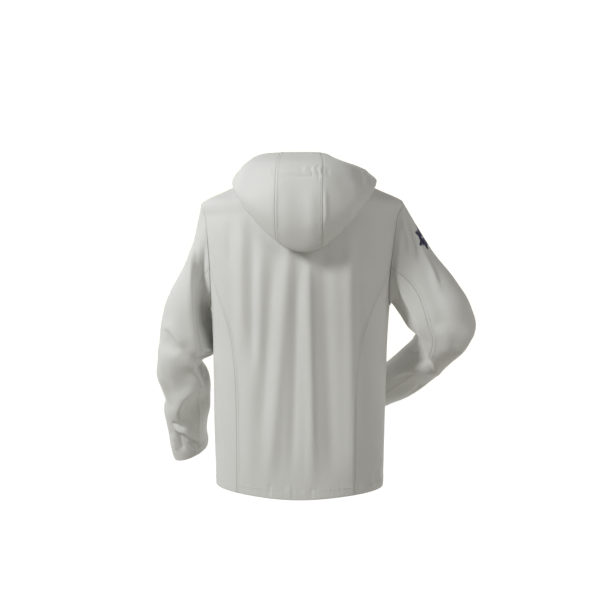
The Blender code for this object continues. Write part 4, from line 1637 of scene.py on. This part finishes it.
@dataclass
class SleevePiece(ClothPiece):
    """The top or under piece of a sleeve.

    Attributes:
        form: the sleeve's form.
        top: whether it is the top piece.
        top_columns: cells across a top piece between the graded stretches.
        under_columns: the same of an under piece.
        rows: cells from the armhole to the cuff between the graded stretches.
        samples: places at which a row's length is taken.
        least_speed: least millimetres for each whole share along the sleeve at the armhole.
        crease_start: distance from the armhole at which the creases have their full height.
    """

    form: SleeveForm | None = None
    top: bool = True
    top_columns = 64
    under_columns = 38
    rows = 170
    samples = 97
    least_speed = 250
    crease_start = 24

    def base(self) -> tuple[np.ndarray, np.ndarray]:
        """The sleeve piece's form: columns from seam to seam, rows from the armhole to the cuff.

        Returns:
            Points and normals.
        """
        share = np.linspace(0, 1, self.samples)

        def turns_at(shares: np.ndarray, along: np.ndarray) -> np.ndarray:
            back, front = self.form.seam(True, along), self.form.seam(False, along)
            start, end = (front - 360, back) if self.top else (back, front)
            return start + (end - start) * shares

        def row_at(shares: np.ndarray, along: float) -> np.ndarray:
            level = np.full(len(shares), along)
            return self.form.point(turns_at(shares, level), level)

        breadths = [np.linalg.norm(np.diff(row_at(share, along), axis=0), axis=1).sum()
                    for along in np.linspace(0, 1, 9)]
        shares = self.shares_across(np.mean(breadths), self.top_columns if self.top else self.under_columns)
        start_speed, end_speed = end_speeds(lambda along: row_at(shares, along))
        along = graded(np.maximum(start_speed, self.least_speed), end_speed, self.edges[2].value.offsets,
                       self.edges[3].value.offsets, even(self.rows))
        turns = turns_at(np.broadcast_to(shares, along.shape), along)
        return self.form.point(turns, along), self.form.normals(turns, along)

    def creased(self, points: np.ndarray, normals: np.ndarray) -> np.ndarray:
        """How far the creases lift the form, which they leave as it is where it meets the armhole.

        Args:
            points: the form's points.
            normals: its normals.

        Returns:
            Millimetres.
        """
        return super().creased(points, normals) * ease(lengths_along(points), 0, self.crease_start)


@dataclass
class HoodPiece(ClothPiece):
    """One of the hood's three pieces.

    Attributes:
        form: the hood's form.
        start: where it starts across the hood.
        end: where it ends.
        columns: cells across between the graded stretches.
        levels: how far up each point lies, kept for the creases.
        rows: cells from the neckline to the edge between the graded stretches.
        neckline_lines: how many of the seam's offsets the neckline has.
        samples: places at which the piece's breadth is taken.
        breadth_level: how far up it is taken.
        least_speed: least millimetres for each whole share up the hood at its edge.
        outer_layer: how far up the creases start, and how far up they have their full height.
    """

    form: HoodForm | None = None
    start: float = -1.0
    end: float = 1.0
    columns: int = 90
    levels: np.ndarray | None = field(default=None, init=False)
    rows = 150
    neckline_lines = 5
    samples = 65
    breadth_level = 0.7
    least_speed = 180
    outer_layer = (0.5, 0.6)

    def base(self) -> tuple[np.ndarray, np.ndarray]:
        """The hood piece's form: columns across it, rows from the neckline to the edge.

        Returns:
            Points and normals.
        """
        def row_at(across: np.ndarray, up: float) -> np.ndarray:
            return self.form.point(across, np.full(len(across), up))

        samples = self.start + (self.end - self.start) * np.linspace(0, 1, self.samples)
        breadth = np.linalg.norm(np.diff(row_at(samples, self.breadth_level), axis=0), axis=1).sum()
        across = self.start + (self.end - self.start) * self.shares_across(breadth, self.columns)
        start_speed, end_speed = end_speeds(lambda up: row_at(across, up))
        neckline = self.edges[2].value.offsets[:self.neckline_lines]
        up = graded(start_speed, np.maximum(end_speed, self.least_speed), neckline, self.edges[3].value.offsets,
                    even(self.rows))
        across = np.broadcast_to(across, up.shape)
        self.levels = up
        return self.form.point(across, up), self.form.normals(across, up)

    def creased(self, points: np.ndarray, normals: np.ndarray) -> np.ndarray:
        """How far the creases lift the hood's outer layer.

        Args:
            points: the form's points.
            normals: its normals.

        Returns:
            Millimetres.
        """
        return super().creased(points, normals) * ease(self.levels, *self.outer_layer)


@dataclass
class Zip:
    """The closed front zip: tape, teeth, and the CAD slider and pull with their enamel.

    Attributes:
        half_width: half the width of tape that shows.
        set_back: how far the tape lies under the fronts.
        tooth_pitch: distance between teeth.
        tape_thickness: of the tape.
        collar: (y, z) places of the zip above the neckline.
    """

    half_width: float = 6.3
    set_back: float = 0.4
    tooth_pitch: float = 2.5
    tape_thickness: float = 0.8
    collar: tuple[tuple[float, float], ...] = ((-71, -44), (-75, -35), (-78, -27), (-80, -19), (-81, -14))

    def line(self) -> tuple[np.ndarray, np.ndarray]:
        """The zip's middle line.

        Returns:
            Points from the hem up, and the direction out of the cloth at each.
        """
        heights = np.linspace(TORSO.hem, 0, 240)
        body = TORSO.point(np.full(len(heights), -90.0), heights)
        stand = np.array([(body[-1, 0], y, z) for y, z in self.collar])
        line = np.vstack([body, stand])
        along = unit(np.gradient(line, axis=0))
        return line, unit(np.stack([np.zeros(len(line)), -along[:, 2], along[:, 1]], axis=-1))

    def build(self) -> None:
        """Makes the tape and the teeth, and finishes the slider and the pull."""
        line, out = self.line()
        places = np.array([-1, -0.62, -0.5, -0.42, -0.2, 0, 0.2, 0.42, 0.5, 0.62, 1])
        swell = 0.35 * np.exp(-(((np.abs(places) - 0.52) / 0.12) ** 2))
        outer = (
            line[:, None]
            + np.stack([places * self.half_width, 0 * places, 0 * places], axis=-1)
            + out[:, None] * (swell - self.set_back)[None, :, None]
        )
        points, faces = MeshWriter.wall(outer, outer - out[:, None] * self.tape_thickness)
        tape = MeshWriter.add("zip_tape", points, faces, TAPE.material())
        length = lengths_along(line)
        MeshWriter.unwrap(tape, faces,
                          np.stack(np.broadcast_arrays(places * self.half_width, length[:, None]), axis=-1))
        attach(tape, BODY)
        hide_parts("zip_chain")
        teeth = self.teeth(line, out, length)
        for node in ("zip_slider", "zip_pull"):
            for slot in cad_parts[node].material_slots:
                slot.material = ENAMEL.material()

    def teeth(self, line: np.ndarray, out: np.ndarray, length: np.ndarray) -> bpy.types.Object:
        """Moulded teeth, one side after the other: low blocks with narrowed tops.

        Args:
            line: the zip's middle line.
            out: directions out of the cloth.
            length: length along the line.

        Returns:
            The teeth as one object.
        """
        at = np.arange(6.0, length[-1] - 8.0, self.tooth_pitch / 2)
        middle, outward = at_lengths(line, length, at), unit(at_lengths(out, length, at))
        ahead = np.cross(outward, (1.0, 0.0, 0.0))
        side = np.where(np.arange(len(at)) % 2 == 0, 1.0, -1.0)[:, None]
        across = side * np.array([1.0, 0.0, 0.0])
        block = np.array([(x, y, z)
                          for z, shrink in ((0.0, 1.0), (0.7, 1.0), (1.05, 0.72))
                          for x, y in ((-0.5, -0.48 * shrink), (2.9 * shrink, -0.52 * shrink),
                                       (2.9 * shrink, 0.52 * shrink), (-0.5, 0.48 * shrink))])
        points = (
            middle[:, None] - outward[:, None] * 0.3
            + block[None, :, :1] * across[:, None]
            + block[None, :, 1:2] * ahead[:, None]
            + block[None, :, 2:] * outward[:, None]
        )
        quads = [(0, 3, 2, 1), (8, 9, 10, 11)]
        quads += [(level + i, level + (i + 1) % 4, level + 4 + (i + 1) % 4, level + 4 + i)
                  for level in (0, 4) for i in range(4)]
        quads = np.array(quads)
        faces = quads[None] + (np.arange(len(at)) * len(block))[:, None, None]
        faces[side[:, 0] < 0] = faces[side[:, 0] < 0][:, :, ::-1]
        teeth = MeshWriter.add("zip_teeth", points.reshape(-1, 3), faces.reshape(-1, 4), TEETH.material(), False)
        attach(teeth, BODY)
        return teeth


@dataclass
class Rosette:
    """A plain six-petal rosette printed on a sleeve.

    Attributes:
        form: the sleeve's form.
        folds: the creases of the cloth under it.
        around: its middle, in degrees round the sleeve.
        along: its middle along the sleeve.
        radius: in millimetres.
        proud: how far its face stands above the cloth.
        thickness: of the print.
        tilt: degrees that the first petal is turned.
    """

    form: SleeveForm
    folds: tuple[Crease, ...]
    around: float = 21.0
    along: float = 0.092
    radius: float = 31.0
    proud: float = 0.28
    thickness: float = 0.2
    tilt: float = 12.0

    def cells(self) -> list[tuple[np.ndarray, np.ndarray]]:
        """Flat grids of the motif: six lens-shaped petals and a ring of six small ones between them.

        Returns:
            Two arrays of places for each grid, in millimetres.
        """
        grids = []
        share, side = np.meshgrid(np.linspace(0, 1, 15), np.linspace(-1, 1, 7), indexing="ij")
        for count, turn, inner, outer, width in ((6, 0.0, 0.10, 1.0, 0.20), (6, 30.0, 0.34, 0.74, 0.075)):
            for k in range(count):
                angle = math.radians(turn + 360.0 / count * k + self.tilt)
                radial = self.radius * (inner + (outer - inner) * share)
                across = self.radius * width * side * np.sqrt(np.maximum(np.sin(np.pi * share), 0.0004))
                grids.append((radial * math.cos(angle) - across * math.sin(angle),
                              radial * math.sin(angle) + across * math.cos(angle)))
        return grids

    def build(self) -> bpy.types.Object:
        """The print, as thin closed pads on the cloth.

        Returns:
            The object.
        """
        centre = self.form.point(self.around, self.along)
        per_degree = np.linalg.norm(self.form.point(self.around + 2.0, self.along) - centre) / 2.0
        per_share = np.linalg.norm(self.form.point(self.around, self.along + 0.01) - centre) / 0.01
        parts = []
        for a, b in self.cells():
            around, along = self.around + a / per_degree, self.along + b / per_share
            points, normals = self.form.point(around, along), self.form.normals(around, along)
            lift = sum(crease.lift(points, normals) for crease in self.folds)
            points = points + normals * (lift + self.proud)[..., None]
            parts.append(MeshWriter.wall(points, points - normals * self.thickness))
        made = MeshWriter.join("sleeve_rosette", parts, PRINT.material())
        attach(made, BODY)
        return made


# Creases by piece: path as (x, z), spread, rise, sharp

TORSO_CREASES = creases((
    (((-26, -190), (-29, -400), (-33, -600)), 8, 1.2, 0.3),
    (((152, -112), (150, -160), (148, -215)), 8, -1.8, 0.0),
    (((-146, -150), (-151, -230), (-156, -320)), 9, -1.8, 0.0),
    (((-186, -130), (-168, -175), (-150, -240)), 12, -1.6, 0.0),
    (((184, -140), (170, -190), (158, -260)), 12, -1.4, 0.0),
    (((-137, -666), (-141, -700)), 3.2, 2.4, 0.3),
    (((-146, -672), (-147, -700)), 3.0, -2.2, 0.0),
    (((-153, -658), (-158, -698)), 3.6, 2.8, 0.4),
    (((-164, -666), (-165, -696)), 3.2, -2.4, 0.0),
    (((-171, -654), (-176, -694)), 3.4, 2.8, 0.4),
    (((-181, -662), (-183, -690)), 3.2, -2.0, 0.0),
    (((60, -672), (62, -706)), 4.0, -1.0, 0.0),
    (((18, -676), (18, -708)), 4.0, 1.0, 0.0),
    (((-30, -680), (-29, -708)), 4.0, -1.1, 0.0),
    (((-160, -598), (-171, -626), (-183, -652)), 7, 2.6, 0.3),
    (((-168, -590), (-182, -618)), 8, -1.6, 0.0),
    (((178, -330), (182, -420)), 10, -1.4, 0.0),
    (((186, -500), (182, -600)), 10, 1.4, 0.0),
)) + creases((
    (((-182, -320), (-186, -420)), 10, -1.5, 0.0),
    (((186, -330), (180, -430)), 10, -1.5, 0.0),
    (((176, -150), (150, -200), (128, -280)), 11, -2.2, 0.0),
    (((-178, -146), (-150, -196), (-124, -290)), 11, -2.0, 0.0),
    (((160, -110), (120, -130), (80, -180)), 12, 1.8, 0.0),
    (((-164, -106), (-118, -128), (-84, -170)), 12, 1.6, 0.0),
    (((16, -180), (15, -300), (18, -420)), 5, 1.2, 0.0),
    (((-17, -240), (-16, -380), (-19, -520)), 5, 1.2, 0.0),
), Facing.AHEAD)
LEFT_SLEEVE_CREASES = creases((
    (((237, -150), (239, -225), (238, -309), (234, -387), (232, -422)), 15, 9.0, 0.74),
    (((212, -150), (210, -250), (208, -330), (208, -400)), 22, -15.0, 0.0),
    (((194, -400), (214, -400), (236, -398)), 9, 5.0, 0.7),
    (((196, -420), (216, -420), (232, -420)), 8, -8.0, 0.0),
    (((258, -398), (275, -371), (293, -352), (316, -346)), 20, 6.0, 0.72),
    (((308, -372), (288, -388), (270, -408)), 14, -2.6, 0.0),
    (((249, -408), (246, -436), (239, -460), (228, -486)), 17, 11.0, 0.78),
    (((214, -436), (208, -470)), 13, -8.0, 0.0),
    (((214, -480), (249, -495), (268, -512), (281, -539), (286, -572)), 17, 11.0, 0.76),
    (((206, -506), (232, -524), (254, -548), (266, -584)), 18, -11.0, 0.0),
    (((322, -430), (306, -470), (300, -520)), 13, -3.2, 0.0),
    (((308, -571), (290, -579), (274, -588)), 4, -5.0, 0.0),
    (((240, -628), (262, -612), (278, -598), (306, -584)), 9, 7.0, 0.7),
    (((236, -638), (256, -626), (270, -614)), 7, -6.0, 0.0),
    (((291, -592), (288, -616), (285, -646)), 6, -5.0, 0.0),
    (((254, -652), (268, -626), (276, -606)), 7, 5.0, 0.7),
    (((308, -600), (301, -644)), 7, 3.0, 0.3),
)) + creases((
    (((240, -410), (262, -430), (290, -436)), 6, -3.0, 0.0),
    (((236, -430), (262, -452), (296, -458)), 7, 2.6, 0.0),
    (((244, -462), (268, -476), (300, -474)), 6, -2.2, 0.0),
    (((250, -550), (272, -566), (300, -570)), 6, -2.0, 0.0),
    (((246, -572), (270, -590), (298, -598)), 6, 1.8, 0.0),
    (((230, -180), (250, -240), (262, -320)), 11, -2.2, 0.0),
), Facing.AHEAD)
RIGHT_SLEEVE_CREASES = creases((
    (((-303, -460), (-297, -438), (-288, -412), (-270, -373), (-240, -306), (-223, -273), (-213, -233),
      (-207, -203), (-205, -141), (-208, -109), (-213, -80)), 17, 9.0, 0.76),
    (((-188, -160), (-192, -241), (-208, -288), (-230, -332), (-248, -362)), 15, -11.0, 0.0),
    (((-214, -80), (-224, -118), (-236, -160), (-247, -204)), 6, 6.0, 0.5),
    (((-222, -86), (-234, -124), (-248, -166), (-262, -212)), 6, -5.5, 0.0),
    (((-222, -78), (-241, -120), (-262, -170), (-284, -214), (-306, -270)), 9, 4.6, 0.55),
    (((-262, -222), (-288, -268), (-306, -318), (-322, -360)), 15, -3.6, 0.0),
    (((-240, -392), (-252, -412), (-264, -436)), 18, -10.0, 0.0),
    (((-312, -458), (-270, -443), (-230, -449), (-190, -476)), 18, 8.0, 0.7),
    (((-300, -490), (-255, -488), (-215, -502), (-178, -522)), 26, -12.0, 0.0),
    (((-382, -340), (-366, -366), (-350, -390), (-334, -412)), 16, 7.0, 0.78),
    (((-300, -330), (-318, -372), (-322, -410)), 18, 3.0, 0.3),
)) + creases((
    (((-230, -330), (-262, -350), (-300, -352)), 7, -3.2, 0.0),
    (((-228, -352), (-262, -376), (-306, -378)), 7, 2.8, 0.0),
    (((-226, -380), (-252, -404), (-290, -410)), 7, -2.4, 0.0),
    (((-236, -190), (-250, -250), (-282, -310)), 11, -2.2, 0.0),
    (((-160, -490), (-190, -470), (-214, -440)), 8, 1.6, 0.0),
    (((-200, -500), (-226, -470), (-246, -436)), 8, -1.6, 0.0),
), Facing.AHEAD)
CROWN_CREASES = creases((
    (((40, -21), (20, -25), (-20, -27), (-54, -25)), 3.4, -1.8, 0.3),
    (((40, -12), (10, -16), (-30, -17), (-57, -15)), 5.0, 1.0, 0.0),
    (((-8, -4), (-13, -12), (-15, -22)), 1.8, -1.1, 0.0),
    (((-27, -1), (-21, -9), (-23, -19)), 1.8, 1.3, 0.3),
    (((-28, -5), (-34, -15), (-36, -29)), 1.9, -1.6, 0.3),
    (((-45, 1), (-37, -10), (-42, -22)), 2.0, 1.6, 0.3),
    (((-44, -10), (-50, -22), (-49, -38)), 2.0, -1.6, 0.0),
    (((-56, -2), (-50, -12), (-55, -24)), 2.0, 1.5, 0.0),
    (((62, -6), (58, -18), (60, -32)), 2.6, -1.2, 0.0),
    (((50, -8), (54, -20), (50, -32)), 3.0, 1.3, 0.0),
    (((-68, -4), (-66, -18), (-71, -30)), 2.6, -1.0, 0.0),
    (((-84, -16), (-108, -52), (-118, -86)), 13, -0.9, 0.0),
    (((-96, -4), (-122, -36), (-132, -64)), 11, 0.8, 0.0),
    (((-134, -4), (-142, -22), (-148, -44)), 5, 2.4, 0.3),
    (((74, -10), (96, -40), (108, -70)), 13, -2.4, 0.0),
    (((30, -50), (34, -100), (30, -148)), 13, -1.6, 0.0),
    (((-30, -50), (-36, -100), (-34, -160)), 12, 1.6, 0.0),
    (((-62, -50), (-64, -90), (-64, -130)), 4, 1.8, 0.0),
    (((20, -170), (-8, -180), (-36, -176)), 8, 1.0, 0.0),
))


class Workshop:
    """Sews the windbreaker from its pieces."""

    cuts = {
        "back": Cut(0.48, 0.75, 0.27),
        "side": Cut(0.17, 0.49, 0.072),
        "front": Cut(0.26, 0.72, 0.160),
        "sleeve_left_top": Cut(0.30, 0.63, 0.145),
        "sleeve_right_top": Cut(0.30, 0.63, 0.148),
        "sleeve_left_under": Cut(0.13, 0.52, 0.050),
        "sleeve_right_under": Cut(0.145, 0.52, 0.054),
        "hood_side": Cut(0.34, 0.36, 0.085),
        "hood_centre": Cut(0.13, 0.42, 0.045),
    }

    def torso(self) -> None:
        """Makes the back, the sides and the fronts."""
        seam, felled, hem = Edge.SEAM, Edge.FELLED, Edge.HEM
        BackPanel("back_cloth", "back", self.cuts["back"], (felled, felled, hem, seam), TORSO_CREASES).build()
        for word, mirrored in (("left", False), ("right", True)):
            SidePanel(f"side_{word}_cloth", f"side_{word}", self.cuts["side"], (seam, seam, hem, seam),
                      TORSO_CREASES, mirrored=mirrored).build()
            FrontPanel(f"front_{word}_cloth", f"front_{word}", self.cuts["front"], (seam, felled, hem, seam),
                       TORSO_CREASES, mirrored=mirrored).build()

    def sleeves(self) -> None:
        """Makes both sleeves and the print on the right one."""
        for word, side, folds in (("left", 1, LEFT_SLEEVE_CREASES), ("right", -1, RIGHT_SLEEVE_CREASES)):
            form = SleeveForm(side)
            for piece, top in (("top", True), ("under", False)):
                side_edge = Edge.FELLED if top else Edge.SEAM
                name = f"sleeve_{word}_{piece}"
                SleevePiece(f"{name}_cloth", name, self.cuts[name], (side_edge, side_edge, Edge.SEAM, Edge.HEM),
                            folds, form=form, top=top).build()
            if side < 0:
                Rosette(form, folds).build()

    def hood(self) -> None:
        """Makes the hood's three pieces."""
        form = HoodForm()
        edge = form.seam_across
        pieces = (("hood_right", -1.0, -edge, Edge.SEAM, Edge.SEAM, 84, "hood_side"),
                  ("hood_centre", -edge, edge, Edge.FELLED, Edge.FELLED, 28, "hood_centre"),
                  ("hood_left", edge, 1.0, Edge.SEAM, Edge.SEAM, 84, "hood_side"))
        for name, start, end, first, last, columns, cut in pieces:
            HoodPiece(f"{name}_cloth", name, self.cuts[cut], (first, last, Edge.SEAM, Edge.RIM), CROWN_CREASES,
                      form=form, start=start, end=end, columns=columns).build()


@dataclass(frozen=True)
class Studio:
    """Camera, lights, world and floor.

    Attributes:
        distance: from the camera to the garment's axis, in metres.
        swing: degrees that the camera stands off straight behind.
        level: height of the camera.
        focal_pixels: focal length in pixels of a picture 600 wide.
        picture: width of that picture in pixels.
        shift: how many pixels the picture is moved, across and up.
        sensor: width of the camera's sensor in millimetres.
        floor_level: height of the floor.
        floor_half: half the floor's width in millimetres.
        surround: brightness of the surround beside and above the garment.
        bright: brightness of the surround ahead of the garment.
        bright_edge: where, along Y of a direction one long, the bright part starts to fade and where it has faded.
    """

    distance: float = 2.1
    swing: float = 5.0
    level: float = -0.22
    focal_pixels: float = 933.0
    picture: float = 600.0
    shift: tuple[float, float] = (-2.5, -30.0)
    sensor: float = 36.0
    floor_level: float = -1.25
    floor_half: float = 6000.0
    surround: float = 0.165
    bright: float = 1.1
    bright_edge: tuple[float, float] = (-0.87, -0.76)

    def camera(self) -> None:
        """Puts the camera behind the garment, level, a little to the wearer's right."""
        data = bpy.data.cameras.new("camera")
        data.sensor_width = self.sensor
        data.lens = self.focal_pixels / self.picture * self.sensor
        data.shift_x, data.shift_y = (value / self.picture for value in self.shift)
        camera = bpy.data.objects.new("camera", data)
        swing = math.radians(self.swing)
        camera.location = (-math.sin(swing) * self.distance, math.cos(swing) * self.distance, self.level)
        aim = Vector((0.0, 0.0, self.level)) - camera.location
        camera.rotation_euler = aim.to_track_quat("-Z", "Y").to_euler()
        bpy.context.scene.collection.objects.link(camera)
        bpy.context.scene.camera = camera

    def lamp(self, name: str, place, target, size: tuple[float, float], watts: float, colour=(1.0, 1.0, 1.0)) -> None:
        """One soft box.

        Args:
            name: its name.
            place: where it stands, in metres.
            target: what it faces.
            size: width and height.
            watts: its power.
            colour: its colour.
        """
        data = bpy.data.lights.new(name, "AREA")
        data.shape = "RECTANGLE"
        data.size, data.size_y = size
        data.energy = watts
        data.color = colour
        lamp = bpy.data.objects.new(name, data)
        lamp.location = place
        lamp.rotation_euler = (Vector(target) - Vector(place)).to_track_quat("-Z", "Y").to_euler()
        bpy.context.scene.collection.objects.link(lamp)

    def world(self) -> None:
        """A pale surround, white where the garment's front faces and dimmer elsewhere."""
        world = bpy.data.worlds.new("surround")
        bpy.context.scene.world = world
        world.use_nodes = True
        writer = NodeWriter(world.node_tree)
        writer.feed(world.node_tree.nodes["Background"], {
            "Color": (1.0, 0.975, 0.91, 1.0),
            "Strength": writer.ramp("Generated", self.bright_edge, (self.bright, self.surround)),
        })

    def floor(self) -> None:
        """A wide pale floor, well below the garment."""
        half, level = self.floor_half, self.floor_level / MM
        points = np.array([(-half, -half, level), (half, -half, level), (half, half, level), (-half, half, level)])
        floor = MeshWriter.add("floor", points, np.array([[0, 1, 2, 3]]), FLOOR.material(), False)

    def build(self) -> None:
        """Sets the whole studio."""
        self.camera()
        self.world()
        self.floor()
        self.lamp("key", (2.5, 1.8, 1.6), (0.05, 0.0, -0.25), (0.7, 0.9), 86.0, (0.985, 0.995, 1.0))
        self.lamp("fill", (-2.2, 1.9, 0.7), (-0.1, 0.0, -0.35), (1.6, 1.6), 18.0, (1.0, 0.99, 0.965))
        self.lamp("front", (2.1, -1.9, 1.0), (0.0, 0.0, -0.3), (0.9, 1.1), 9.0)
        bpy.context.scene.view_settings.view_transform = "Standard"


def main() -> None:
    """Builds the windbreaker and its studio."""
    logging.basicConfig(level=logging.INFO, format="%(name)s: %(message)s")
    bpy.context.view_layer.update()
    Studio().build()
    workshop = Workshop()
    workshop.torso()
    workshop.sleeves()
    workshop.hood()
    Zip().build()
    bpy.context.view_layer.update()


if __name__ == "__main__":
    main()
